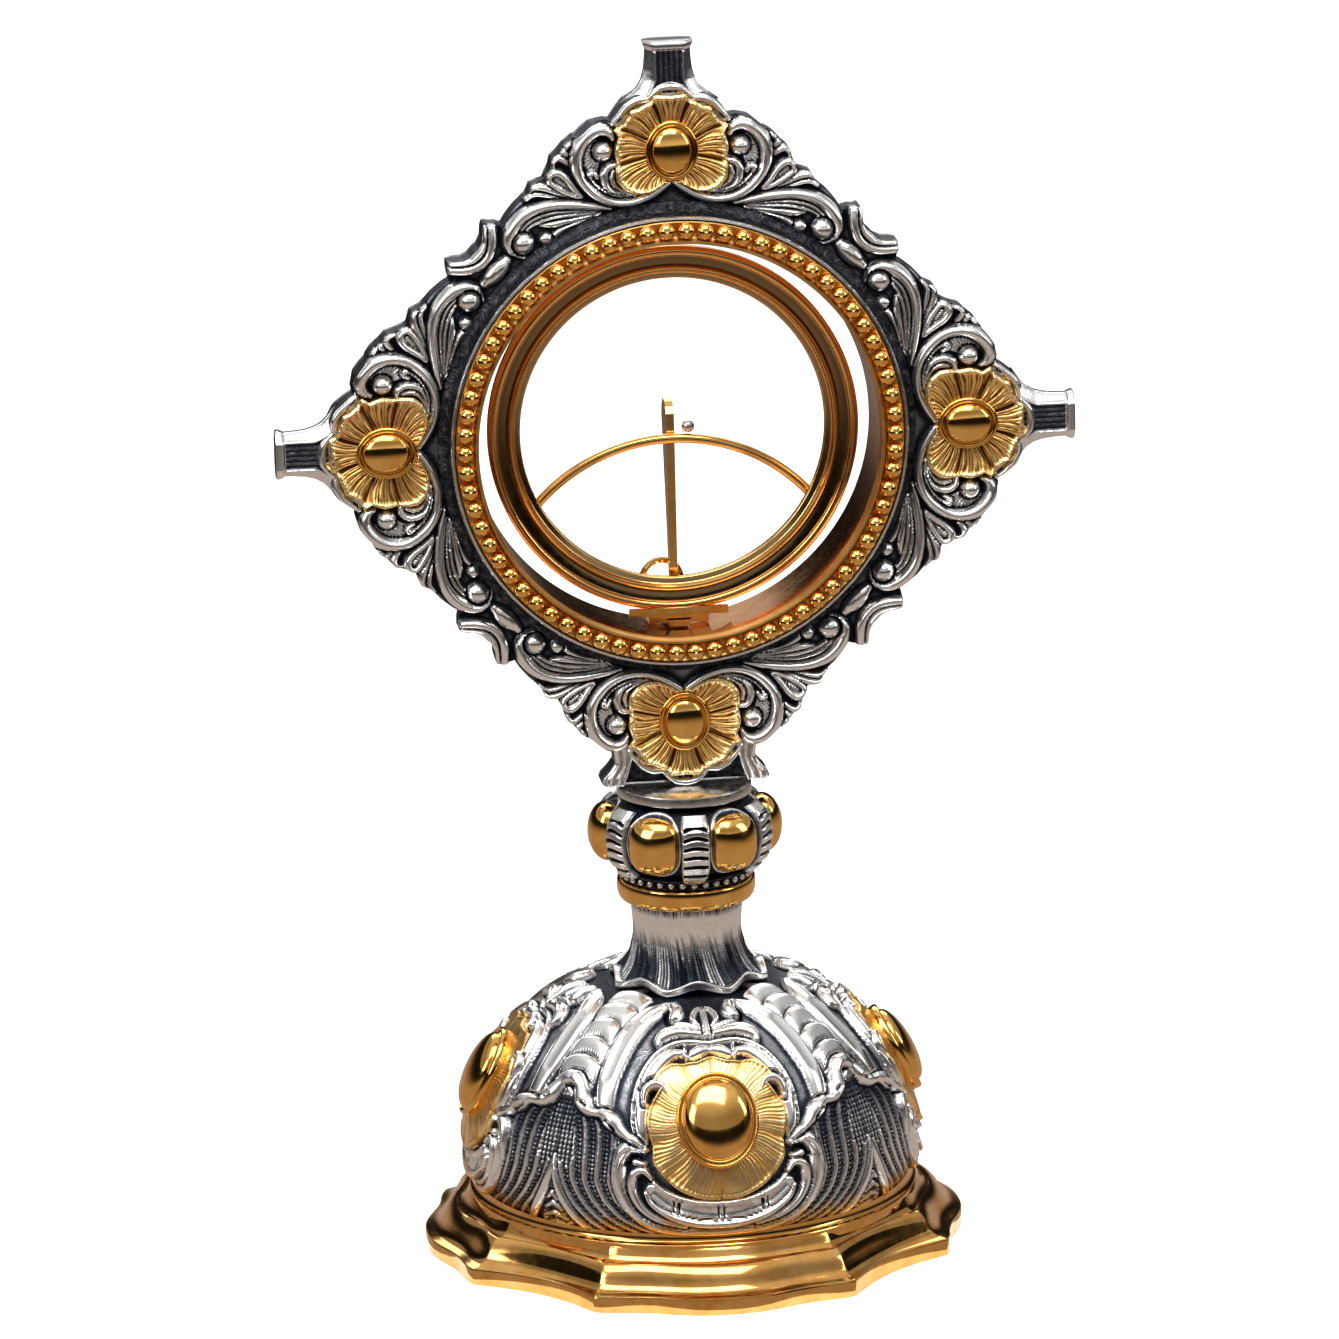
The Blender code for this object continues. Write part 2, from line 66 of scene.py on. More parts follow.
class Paint:
    """A metal material under construction."""

    def __init__(self, name, colour, rough):
        self.material = bpy.data.materials.new(name)
        self.material.use_nodes = True
        tree = self.material.node_tree
        self.nodes, self.links = tree.nodes, tree.links
        self.shader = self.nodes["Principled BSDF"]
        self.shader.inputs["Metallic"].default_value = 1.0
        self.shader.inputs["Base Color"].default_value = (*colour, 1)
        self.shader.inputs["Roughness"].default_value = rough
        self.material.diffuse_color = (*colour, 1)
        self.place = self.node("ShaderNodeTexCoord").outputs["Object"]
        self.last_bump = None

    def node(self, kind, **settings):
        made = self.nodes.new(kind)
        for key, value in settings.items():
            setattr(made, key, value)
        return made

    def plug(self, source, socket):
        self.links.new(source, socket)

    def noise(self, size_mm, detail=3.0, stretch=None):
        """Noise whose features are about size_mm across, stretched along an axis if asked."""
        texture = self.node("ShaderNodeTexNoise")
        texture.inputs["Scale"].default_value = 1 / (size_mm * MM)
        texture.inputs["Detail"].default_value = detail
        texture.inputs["Roughness"].default_value = 0.55
        source = self.place
        if stretch:
            mapping = self.node("ShaderNodeMapping")
            mapping.inputs["Scale"].default_value = stretch
            self.plug(source, mapping.inputs["Vector"])
            source = mapping.outputs["Vector"]
        self.plug(source, texture.inputs["Vector"])
        return texture.outputs["Fac"]

    def grains(self, size_mm):
        """Rounded cells about size_mm across, dark in their middle."""
        texture = self.node("ShaderNodeTexVoronoi")
        texture.inputs["Scale"].default_value = 1 / (size_mm * MM)
        self.plug(self.place, texture.inputs["Vector"])
        return texture.outputs["Distance"]

    def math(self, operation, *values):
        made = self.node("ShaderNodeMath", operation=operation)
        for i, value in enumerate(values):
            if isinstance(value, (int, float)):
                made.inputs[i].default_value = value
            else:
                self.plug(value, made.inputs[i])
        return made.outputs[0]

    def attribute(self, name):
        return self.node("ShaderNodeAttribute", attribute_name=name).outputs["Fac"]

    def ramp(self, source, stops):
        made = gradient(self.nodes, stops)
        self.plug(source, made.inputs["Fac"])
        return made.outputs["Color"]

    def colour(self, source):
        self.plug(source, self.shader.inputs["Base Color"])

    def roughness(self, source, low, high, start=0.0, end=1.0):
        made = self.node("ShaderNodeMapRange")
        for key, value in (("From Min", start), ("From Max", end), ("To Min", low), ("To Max", high)):
            made.inputs[key].default_value = value
        self.plug(source, made.inputs["Value"])
        self.plug(made.outputs["Result"], self.shader.inputs["Roughness"])

    def bump(self, source, strength, depth_mm):
        made = self.node("ShaderNodeBump")
        made.inputs["Strength"].default_value = strength
        made.inputs["Distance"].default_value = depth_mm * MM
        self.plug(source, made.inputs["Height"])
        if self.last_bump:
            self.plug(self.last_bump, made.inputs["Normal"])
        self.last_bump = made.outputs["Normal"]
        self.plug(self.last_bump, self.shader.inputs["Normal"])


def relief_silver(name, washed=False):
    """Cast silver: polished on its high parts, blackened and stippled in its recesses. The darkening it reads
    also carries painted shade under the neck's lip and the dome's rims, at the arms' roots and on the rosettes'
    backs, and a painted highlight along those petals' rims.
    """
    p = Paint(name, (0.8, 0.79, 0.77), 0.2)
    recess = p.attribute("recess")
    stain = p.math("MULTIPLY_ADD", p.noise(2.4, 4.0), 0.34, -0.17)
    dark = p.math("ADD", recess, stain)
    silver = p.ramp(dark, [(0.0, (0.93, 0.91, 0.89)), (0.2, (0.82, 0.8, 0.78)), (0.42, (0.33, 0.33, 0.34)),
                           (0.66, (0.05, 0.057, 0.072)), (1.0, (0.01, 0.013, 0.02))])
    if washed:
        # the gilding of the foot runs a little way up the lowest rolls
        split = p.node("ShaderNodeSeparateXYZ")
        p.plug(p.place, split.inputs["Vector"])
        height = p.math("MULTIPLY_ADD", p.noise(5.0), 0.008, split.outputs["Z"])
        reach = p.math("MULTIPLY", p.math("SUBTRACT", 0.0265, height), 250.0)
        mix = p.node("ShaderNodeMix", data_type="RGBA", clamp_factor=True)
        p.plug(reach, mix.inputs["Factor"])
        p.plug(silver, mix.inputs["A"])
        p.plug(p.ramp(dark, [(0.0, (0.93, 0.6, 0.24)), (0.3, (0.8, 0.46, 0.14)), (0.6, (0.12, 0.07, 0.03)),
                             (1.0, (0.02, 0.014, 0.01))]), mix.inputs["B"])
        silver = mix.outputs["Result"]
    p.colour(silver)
    p.roughness(dark, 0.24, 0.44, 0.1, 0.8)
    p.bump(p.noise(0.9, 2.0), 0.2, 0.05)
    stipple = p.math("MULTIPLY", p.grains(0.62), p.math("MINIMUM", recess, 1.0))
    p.bump(stipple, 0.9, 0.22)
    return p.material


def satin_silver():
    """Turned and brushed nickel silver."""
    p = Paint("satin_nickel_silver", (0.66, 0.63, 0.6), 0.27)
    streaks = p.noise(0.35, 2.0, stretch=(0.15, 0.15, 1.0))
    p.colour(p.ramp(streaks, [(0.3, (0.60, 0.57, 0.54)), (0.7, (0.74, 0.71, 0.68))]))
    p.roughness(p.noise(3.0), 0.2, 0.34, 0.3, 0.7)
    p.bump(streaks, 0.12, 0.03)
    p.shader.inputs["Anisotropic"].default_value = 0.4
    return p.material


def black_ground():
    """Blackened, stippled ground with a few worn places, also used for the black sheets between the legs that
    are a painted shadow of the hollow there.
    """
    p = Paint("blackened_ground_and_shadow_sheets", (0.03, 0.032, 0.04), 0.4)
    p.colour(p.ramp(p.noise(1.6, 4.0), [(0.35, (0.014, 0.016, 0.022)), (0.62, (0.07, 0.072, 0.08)),
                                        (0.75, (0.22, 0.22, 0.23))]))
    p.roughness(p.noise(0.8), 0.3, 0.55, 0.3, 0.7)
    p.bump(p.grains(0.55), 0.9, 0.25)
    return p.material


def gilt(name, colour, rough, wave=0.0):
    """Polished gilding, a little uneven, with a warmer tone in random patches."""
    p = Paint(name, colour, rough)
    shade = tuple(c * f for c, f in zip(colour, (0.86, 0.76, 0.6)))
    p.colour(p.ramp(p.noise(6.0, 4.0), [(0.35, shade), (0.62, colour)]))
    p.roughness(p.noise(2.2, 5.0), rough * 0.85, rough * 1.35, 0.35, 0.75)
    if wave:
        p.bump(p.noise(5.0, 1.0), wave, 0.12)
    return p.material


def luna_gilt():
    """Gilding of the luna's ring with a painted reflection: its flats painted dark brown for the dark front
    they face, its edges left bright.
    """
    p = Paint("luna_gilding_with_painted_reflection", (0.9, 0.53, 0.17), 0.15)
    from_middle = p.node("ShaderNodeVectorMath", operation="SUBTRACT")
    from_middle.inputs[1].default_value = (0, 0, RING * MM)
    across = p.node("ShaderNodeVectorMath", operation="MULTIPLY")
    across.inputs[1].default_value = (1, 0, 1)
    reach = p.node("ShaderNodeVectorMath", operation="LENGTH")
    p.plug(p.place, from_middle.inputs[0])
    p.plug(from_middle.outputs[0], across.inputs[0])
    p.plug(across.outputs[0], reach.inputs[0])
    share = p.math("MULTIPLY_ADD", reach.outputs["Value"], 100.0, -3.75)
    share = p.math("ADD", share, p.math("MULTIPLY_ADD", p.noise(4.0), 0.04, -0.02))
    # painted reflection: the flats are painted dark brown for the dark front they mirror, and the edges stay
    # bright
    p.colour(p.ramp(share, [(0.06, (0.72, 0.42, 0.14)), (0.1, (0.4, 0.27, 0.13)), (0.18, (0.34, 0.22, 0.1)),
                            (0.22, (0.92, 0.54, 0.18)), (0.36, (0.9, 0.5, 0.16)), (0.43, (0.24, 0.15, 0.07)),
                            (0.61, (0.2, 0.12, 0.05)), (0.66, (0.9, 0.48, 0.16))]))
    p.roughness(p.noise(2.6, 4.0), 0.14, 0.24, 0.35, 0.75)
    return p.material


def matte_gilt():
    """Gilding over engraved lines, which stay brown in their depth; on the rosettes the same mark also holds
    painted shade towards the boss and a painted highlight along the petals' rim.
    """
    p = Paint("matte_engraved_gilt", (0.8, 0.5, 0.16), 0.36)
    recess = p.attribute("recess")
    stain = p.math("MULTIPLY_ADD", p.noise(1.1, 4.0), 0.5, -0.25)
    dark = p.math("ADD", recess, stain)
    p.colour(p.ramp(dark, [(0.0, (1.0, 0.74, 0.37)), (0.22, (0.93, 0.56, 0.19)), (0.5, (0.66, 0.36, 0.1)),
                           (0.9, (0.13, 0.055, 0.015))]))
    p.roughness(dark, 0.26, 0.52, 0.0, 0.7)
    p.bump(p.grains(0.5), 0.35, 0.08)
    p.bump(p.noise(0.45, 3.0), 0.3, 0.08)
    return p.material


SILVER = relief_silver("oxidised_cast_silver_and_painted_light")
SILVER_WASHED = relief_silver("oxidised_silver_washed_with_gilt_and_painted_shadow", washed=True)
SATIN = satin_silver()
BLACK = black_ground()
GOLD = gilt("polished_gilding", (0.9, 0.51, 0.14), 0.1, 0.05)
GOLD_FOOT = gilt("polished_gilding_of_the_foot", (0.78, 0.43, 0.135), 0.11, 0.05)
GOLD_RING = gilt("luna_gilding", (0.9, 0.53, 0.17), 0.12)
GOLD_LUNA = luna_gilt()
GOLD_LIP = gilt("red_gilding", (0.86, 0.42, 0.15), 0.14)
GOLD_DULL = gilt("dull_gilding", (0.62, 0.37, 0.12), 0.38)
GOLD_MATTE = matte_gilt()


# ---------------------------------------------------------------- mesh tools

def body_mesh(name, verts, quads, material, body, slot, replaces=(), recess=None, smooth=None, angle=None):
    """A closed mesh piece from arrays in mm that rides on a CAD body."""
    mesh = bpy.data.meshes.new(name)
    verts = np.asarray(verts, float)
    quads = np.asarray(quads, np.int32)
    mesh.vertices.add(len(verts))
    mesh.vertices.foreach_set("co", (verts * MM).ravel())
    mesh.loops.add(quads.size)
    mesh.loops.foreach_set("vertex_index", quads.ravel())
    mesh.polygons.add(len(quads))
    mesh.polygons.foreach_set("loop_start", np.arange(0, quads.size, 4, dtype=np.int32))
    mesh.polygons.foreach_set("use_smooth", np.ones(len(quads), bool) if smooth is None else smooth)
    mesh.update(calc_edges=True)
    if angle:
        mesh.set_sharp_from_angle(angle=math.radians(angle))
    if recess is not None:
        layer = mesh.attributes.new("recess", "FLOAT", "POINT")
        layer.data.foreach_set("value", np.asarray(recess, np.float32).ravel())
    return mesh_piece(name, mesh, material, body, replaces)


def mesh_piece(name, mesh, material, body, replaces=()):
    mesh.materials.append(material)
    piece = bpy.data.objects.new(name, mesh)
    bpy.context.scene.collection.objects.link(piece)
    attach(piece, body)
    if replaces:
        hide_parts(*replaces)
    return piece


def strip_quads(a, b, wrap):
    """Quads between two rows of vertex numbers."""
    if wrap:
        a, b = np.append(a, a[0]), np.append(b, b[0])
    return np.stack([a[:-1], a[1:], b[1:], b[:-1]], axis=-1).reshape(-1, 4)


def shell(name, outer, inner, wrap, material, body, slot, replaces=(), recess=None):
    """A closed body between an outer grid of points and an inner one, shape (around, along, 3).

    Seen from outside, the first index runs to the right and the second one down."""
    nu, nv = outer.shape[:2]
    number = np.arange(nu * nv).reshape(nu, nv)
    back = number + nu * nv
    faces, edges = [], []
    for i in range(nu if wrap else nu - 1):
        k = (i + 1) % nu
        faces.append(strip_quads(number[i], number[k], False))
        faces.append(strip_quads(back[k], back[i], False))
    edges.append(strip_quads(number[:, 0][::-1], back[:, 0][::-1], wrap))
    edges.append(strip_quads(number[:, -1], back[:, -1], wrap))
    if not wrap:
        edges.append(strip_quads(number[0], back[0], False))
        edges.append(strip_quads(number[-1][::-1], back[-1][::-1], False))
    faces, edges = np.concatenate(faces), np.concatenate(edges)
    smooth = np.concatenate([np.ones(len(faces), bool), np.zeros(len(edges), bool)])
    verts = np.concatenate([outer.reshape(-1, 3), inner.reshape(-1, 3)])
    if recess is not None:
        recess = np.concatenate([recess.ravel(), np.ones(nu * nv)])
    return body_mesh(name, verts, np.concatenate([faces, edges]), material, body, slot, replaces,
                     recess, smooth)


def cap(loop, flip):
    """Quads that close a loop with an even count of vertex numbers."""
    n = len(loop)
    faces = np.array([[loop[i], loop[i + 1], loop[n - 2 - i], loop[n - 1 - i]] for i in range(n // 2 - 1)])
    return faces[:, ::-1] if flip else faces


def rings(profile, steps):
    """Vertices and quads of a closed profile (radius, height) turned about Z."""
    profile = np.asarray(profile, float)
    turn = np.arange(steps) * TAU / steps
    r = profile[None, :, 0]
    points = np.stack([r * np.cos(turn)[:, None], r * np.sin(turn)[:, None],
                       np.broadcast_to(profile[:, 1], (steps, len(profile)))], axis=-1)
    n = len(profile)
    number = np.arange(steps * n).reshape(steps, n)
    quads = [strip_quads(number[i], number[(i + 1) % steps], True) for i in range(steps)]
    return points.reshape(-1, 3), np.concatenate(quads)


def turned(name, profile, material, body, slot, replaces=(), steps=160, angle=38):
    """A closed profile of (radius, height), clockwise, turned about Z."""
    verts, quads = rings(profile, steps)
    return body_mesh(name, verts, quads, material, body, slot, replaces, angle=angle)


def ring_round_host(name, profile, material, body, slot, replaces=(), angle=38):
    """A closed profile of (radius, distance to the front), turned about the ring's axis."""
    verts, quads = rings(profile, 240)
    verts = np.stack([verts[:, 0], -verts[:, 2], verts[:, 1] + RING], axis=-1)
    return body_mesh(name, verts, quads, material, body, slot, replaces, angle=angle)


def joined(parts):
    """Several (verts, quads) in one."""
    verts, quads, base = [], [], 0
    for v, q in parts:
        verts.append(v)
        quads.append(q + base)
        base += len(v)
    return np.concatenate(verts), np.concatenate(quads)


def ball_parts(size, around=20, along=10):
    """A closed ellipsoid of quads: a turned half outline whose poles are tiny rings."""
    slope = np.linspace(0.035, math.pi - 0.035, along + 1)
    turn = np.arange(around) * TAU / around
    ring = np.stack([np.outer(np.cos(turn), np.sin(slope)) * size[0],
                     np.outer(np.sin(turn), np.sin(slope)) * size[1],
                     np.tile(np.cos(slope) * size[2], (around, 1))], axis=-1)
    n = along + 1
    number = np.arange(around * n).reshape(around, n)
    quads = [strip_quads(number[i], number[(i + 1) % around], False) for i in range(around)]
    quads += [cap(number[:, 0], True), cap(number[:, -1], False)]
    return ring.reshape(-1, 3), np.concatenate(quads)[:, ::-1]


def tube_parts(path, radius):
    """A round wire with domed ends along a list of points."""
    sides = 16
    path = np.asarray(path, float)
    run = np.gradient(path, axis=0)
    run /= np.linalg.norm(run, axis=1)[:, None]
    side = np.cross(run[0], (0.1, 1.0, 0.03))
    turn = np.arange(sides) * TAU / sides
    loops = []

    def loop(at, across, up, r):
        loops.append(at + r * (np.outer(np.cos(turn), across) + np.outer(np.sin(turn), up)))

    for i, (at, along) in enumerate(zip(path, run)):
        side = side - along * side.dot(along)
        side /= np.linalg.norm(side)
        up = np.cross(along, side)
        if i == 0:
            for share in (0.06, 0.5, 0.86):
                loop(at - along * radius * math.sqrt(1 - share ** 2), side, up, radius * share)
        loop(at, side, up, radius)
        if i == len(path) - 1:
            for share in (0.86, 0.5, 0.06):
                loop(at + along * radius * math.sqrt(1 - share ** 2), side, up, radius * share)
    verts = np.concatenate(loops)
    number = np.arange(len(verts)).reshape(len(loops), sides)
    quads = [strip_quads(number[i], number[i + 1], True) for i in range(len(loops) - 1)]
    quads += [cap(number[0], True), cap(number[-1], False)]
    return verts, np.concatenate(quads)


def spline(points, step=0.6):
    """A smooth line through the points, each (across, along, half width, height)."""
    p = np.asarray(points, float)
    ends = np.vstack([2 * p[0] - p[1], p, 2 * p[-1] - p[-2]])
    out = []
    for i in range(len(p) - 1):
        a, b, c, d = ends[i:i + 4]
        n = max(3, int(np.hypot(*(c - b)[:2]) / step))
        t = np.linspace(0, 1, n, endpoint=False)[:, None]
        out.append(0.5 * (2 * b + (c - a) * t + (2 * a - 5 * b + 4 * c - d) * t ** 2
                          + (3 * b - a - 3 * c + d) * t ** 3))
    return np.vstack(out + [p[-1:]])


# ---------------------------------------------------------------- relief

class Relief:
    """Height over a grid of places, worked like chased metal.

    A stroke is a list of points, each (across, along, half width, height)."""

    def __init__(self, x, z, ground, stretch=1.0, broad=1.0):
        self.x, self.z, self.stretch, self.broad = x, z, stretch, broad
        self.ground = ground
        self.h = np.full(x.shape, float(ground))

    def near(self, points):
        """Each place's distance from a stroke, and the stroke's half width and height there."""
        line = spline(points)
        best = np.full(self.x.shape, 1e9)
        width = np.zeros_like(best)
        height = np.zeros_like(best)
        for a, b in zip(line[:-1], line[1:]):
            ex, ez = (b[0] - a[0]) * self.stretch, b[1] - a[1]
            px, pz = (self.x - a[0]) * self.stretch, self.z - a[1]
            t = np.clip((px * ex + pz * ez) / (ex * ex + ez * ez + 1e-9), 0, 1)
            d = (px - t * ex) ** 2 + (pz - t * ez) ** 2
            closer = d < best
            best = np.where(closer, d, best)
            width = np.where(closer, a[2] + (b[2] - a[2]) * t, width)
            height = np.where(closer, a[3] + (b[3] - a[3]) * t, height)
        return np.sqrt(best), np.maximum(width, 0.05), height

    def roll(self, points, power=0.45, cut=0.35):
        """A raised roll along a stroke, with a cut round it."""
        d, w, top = self.near(points)
        w = w * self.broad
        edge = (d >= w) & (d < w + cut)
        self.h = np.where(edge, np.minimum(self.h, self.ground + 0.35 * (self.h - self.ground)), self.h)
        lift = self.ground + (top - self.ground) * np.clip(1 - (d / w) ** 2, 0, 1) ** power
        self.h = np.where(d < w, np.maximum(lift, np.where(cut > 0, -9, self.h)), self.h)

    def fill(self, points):
        """A flat-topped band that never lowers what is there."""
        d, w, top = self.near(points)
        lift = self.ground + (top - self.ground) * np.clip(1.3 * (1 - (d / w) ** 4), 0, 1)
        self.h = np.where(d < w, np.maximum(lift, self.h), self.h)

    def cut(self, points):
        """A groove; the height is its depth."""
        d, w, depth = self.near(points)
        self.h = self.h - depth * np.clip(1 - (d / w) ** 2, 0, 1)

    def ball(self, x, z, radius, top):
        """A round knob with a cut round it."""
        d = np.hypot((self.x - x) * self.stretch, self.z - z)
        self.h = np.where((d >= radius) & (d < radius + 0.4), self.ground, self.h)
        rise = (top - self.ground) * np.sqrt(np.clip(1 - (d / radius) ** 2, 0, 1))
        self.h = np.where(d < radius, self.ground + rise, self.h)

    def fan(self, x, z, near, far, start, end, count, low, high):
        """Flutes that radiate from a place, between two angles from +x."""
        dx, dz = (self.x - x) * self.stretch, self.z - z
        d, turn = np.hypot(dx, dz), np.degrees(np.arctan2(dz, dx))
        share = (turn - start) / (end - start)
        inside = (d > near) & (d < far) & (share > 0) & (share < 1)
        lift = low + (high - low) * np.abs(np.sin(share * math.pi * count))
        self.h = np.where(inside, np.maximum(self.h, lift), self.h)


def blurred(h, reach, wrap=True):
    """Mean over the neighbours, twice; the first index runs round if wrap is set."""
    out = h
    for _ in range(2):
        total = out.copy()
        for k in range(1, reach + 1):
            if wrap:
                total = total + np.roll(out, k, 0) + np.roll(out, -k, 0)
            else:
                total = total + np.vstack([out[:k][::-1], out[:-k]]) + np.vstack([out[k:], out[-k:][::-1]])
        out = total / (2 * reach + 1)
        wide = np.pad(out, ((0, 0), (reach, reach)), mode="edge")
        out = sum(wide[:, k:k + h.shape[1]] for k in range(2 * reach + 1)) / (2 * reach + 1)
    return out


def recesses(h, ground, reach=3, depth=0.6, gain=0.95, wrap=True):
    """How deep each place lies among its neighbours, from 0 on the crests to 1 in the grooves."""
    hollow = (blurred(h, reach, wrap) - h) * gain
    low = np.clip((ground + depth - h) / depth, 0, 1)
    return np.clip(np.maximum(hollow + 0.04, low * (0.56 + 1.3 * np.clip(hollow, 0, 1))), 0, 1)


# ---------------------------------------------------------------- cross frame

OCTANT = 176             # columns of the relief grid in one eighth of the frame
ROWS = 92                # its rows, from the bezel out to the silhouette
FRAME_INNER = 57.2
GROUND = FACE + 0.2      # height of the sunk ground between the scrolls
SEAM = 0.04              # half of the gap between the front and the back castings
ROSETTE = 72.3           # from the ring's middle to a rosette's
BACK_PAD = 72.2          # from the ring's middle to that of a screw's pad on the back
# silhouette of one eighth: (across, up) from the top arm's crest to the diagonal
CREST = [(0, 89.5), (2.6, 88.9), (5, 86.9), (5.7, 86.3), (8.4, 86.1), (11.2, 84.6), (13.6, 81.6), (14.7, 79.9),
         (16.2, 80.3), (19.6, 79.4), (23.1, 76.4), (23.9, 76.3), (26, 74.8), (27.8, 72.7), (29.4, 71.2),
         (29.9, 69.2), (30.4, 68), (31.4, 66.1), (34.6, 64.9), (35.8, 62.4), (38.6, 60), (41, 57.1),
         (42.1, 55.3), (43.1, 55.7), (46.6, 55.9), (47, 54.3), (47.1, 52), (48, 50.2), (49.2, 49.2)]


def octant_relief():
    """Heights of one eighth of the frame's front, and their distance from the ring's middle."""
    turn = np.radians(np.linspace(0, 45, OCTANT + 1))
    edge = np.interp(turn, [math.atan2(x, z) for x, z in CREST], [math.hypot(x, z) for x, z in CREST])
    share = np.linspace(0, 1, ROWS)
    r = FRAME_INNER + (edge[:, None] - FRAME_INNER) * share[None, :]
    x, z = r * np.sin(turn)[:, None], r * np.cos(turn)[:, None]
    g = GROUND
    t = Relief(x, z, g, broad=1.16)
    # shell rim behind the petals
    t.fill([(0, 86.6, 2.2, g + 1.0), (4.2, 86.0, 1.6, g + 1.0)])
    t.fill([(6.6, 84.4, 1.8, g + 0.9), (10.5, 82.6, 2.0, g + 0.9), (13.2, 79.6, 1.5, g + 0.8)])
    t.roll([(-1, 88.4, 1.1, 5.6), (2.6, 87.9, 1.1, 5.6), (4.7, 86.2, 0.9, 5.3), (5.4, 85.0, 0.6, 4.8)], cut=0.0)
    t.roll([(6.2, 85.1, 0.9, 5.0), (8.6, 85.0, 1.15, 5.5), (10.9, 83.7, 1.15, 5.6), (12.9, 81.3, 1.05, 5.5),
            (14.2, 79.6, 0.8, 5.0)], cut=0.0)
    t.cut([(-0.9, 86.9, 0.35, 1.1), (1.6, 86.9, 0.35, 1.1)])
    t.cut([(12.2, 80.9, 0.4, 1.2), (13.2, 79.8, 0.4, 1.2)])
    # recess beside the big scroll, with leaflets
    t.roll([(23.4, 76.2, 0.7, 4.8), (25.6, 74.7, 0.75, 5.1), (27.3, 72.8, 0.75, 5.1)], cut=0.2)
    t.roll([(25.6, 70.0, 0.5, 4.3), (27.6, 71.5, 0.9, 5.0), (29.0, 70.9, 0.8, 5.3), (29.5, 69.0, 0.6, 5.0)])
    t.roll([(25.0, 71.7, 0.4, 4.1), (26.6, 73.0, 0.75, 4.7)])
    # leaves between the scrolls
    t.roll([(26, 61.7, 0.4, 4.6), (30, 62.4, 0.7, 4.9), (34, 63.0, 0.8, 5.1), (36.1, 61.9, 0.7, 5.0)])
    t.roll([(24, 61.6, 0.4, 4.7), (28, 63.1, 0.8, 5.1), (32, 64.5, 0.85, 5.4), (34.3, 64.6, 0.8, 5.4),
            (35.0, 63.8, 0.5, 5.0)])
    t.roll([(24.0, 63.0, 0.5, 4.4), (26.6, 65.2, 0.8, 4.8), (29.2, 66.8, 0.8, 4.9)], cut=0.5)
    t.roll([(22.4, 61.7, 0.5, 4.8), (24.3, 63.9, 0.75, 5.3), (26.2, 66.6, 0.85, 5.7), (28.3, 68.1, 0.95, 5.9),
            (30.1, 67.4, 0.85, 5.8), (30.2, 65.9, 0.75, 5.5), (28.4, 64.3, 0.7, 5.3), (25.6, 62.7, 0.6, 5.0),
            (23.0, 61.5, 0.45, 4.8)], cut=0.2)
    # feathered scroll
    t.roll([(18, 57.1, 0.35, 4.2), (23, 55.8, 0.65, 4.8), (27.4, 53.8, 0.75, 5.0), (30.0, 51.9, 0.8, 5.1)])
    t.roll([(19.5, 57.0, 0.35, 4.3), (25, 56.2, 0.75, 4.9), (29.5, 55.2, 0.85, 5.1), (32.6, 55.3, 0.6, 4.9)])
    t.roll([(19, 57.6, 0.35, 4.4), (25, 57.6, 0.75, 5.0), (30, 57.2, 0.85, 5.2), (34, 55.8, 0.75, 5.1),
            (36.8, 53.7, 0.6, 5.0)])
    t.roll([(16.5, 58.0, 0.4, 4.5), (22, 58.6, 0.75, 5.1), (28, 58.7, 0.9, 5.4), (33, 57.7, 0.9, 5.5),
            (36.6, 55.6, 0.8, 5.4), (38.6, 52.8, 0.6, 5.2)], cut=0.3)
    t.ball(31.4, 51.7, 1.8, 5.6)
    t.roll([(15.4, 58.4, 0.5, 4.8), (20, 59.2, 0.9, 5.4), (25, 59.9, 1.1, 5.8), (30, 60.0, 1.2, 6.1),
            (34.6, 59.0, 1.35, 6.4), (38.0, 56.8, 1.5, 6.6), (40.2, 53.7, 1.5, 6.6), (40.6, 50.7, 1.35, 6.3),
            (39.4, 48.7, 1.0, 6.0), (37.2, 47.6, 0.7, 5.6)], power=0.45)
    t.ball(37, 50.7, 2.9, 6.6)
    # big scroll with its nested leaves
    t.fan(17, 72.8, 3.0, 6.4, -75, 62, 13, g + 0.5, g + 1.1)
    t.roll([(14.6, 67.8, 0.6, 5.2), (14.9, 65.4, 0.8, 5.5), (13.6, 63.1, 0.8, 5.5), (10.6, 61.8, 0.6, 5.3),
            (7, 61.9, 0.4, 5.1)])
    t.roll([(13.9, 69.4, 0.7, 5.5), (15.6, 69.0, 0.85, 5.9), (16.7, 67.3, 0.9, 6.1), (16.5, 64.9, 0.9, 6.0),
            (14.9, 62.6, 0.85, 5.9), (11.6, 61.3, 0.7, 5.6), (8, 61.2, 0.45, 5.3)], cut=0.25)
    t.roll([(18.5, 66.2, 0.5, 5.2), (19.4, 67.7, 0.7, 5.8), (20.5, 67.0, 0.9, 6.1), (20.0, 65.0, 0.9, 6.0),
            (17.8, 62.8, 0.85, 5.9), (14.4, 61.2, 0.75, 5.7), (10.6, 60.8, 0.5, 5.4)], cut=0.25)
    t.roll([(14.4, 75.7, 0.5, 5.2), (15.3, 77.4, 1.1, 5.8), (17.6, 78.2, 1.4, 6.2), (20.3, 77.2, 1.65, 6.6),
            (22.5, 74.7, 1.6, 6.7), (23.5, 71.4, 1.4, 6.6), (23.2, 68, 1.3, 6.4), (21.5, 64.8, 1.25, 6.2),
            (18.6, 61.9, 1.15, 6.1), (14.5, 60.0, 1.05, 6.0), (10, 59.8, 1.0, 5.8), (6, 61.0, 1.0, 5.6),
            (3, 62.7, 0.95, 5.3), (1.0, 64.0, 0.7, 5.1)], power=0.42)
    t.ball(17, 72.8, 2.6, 6.9)
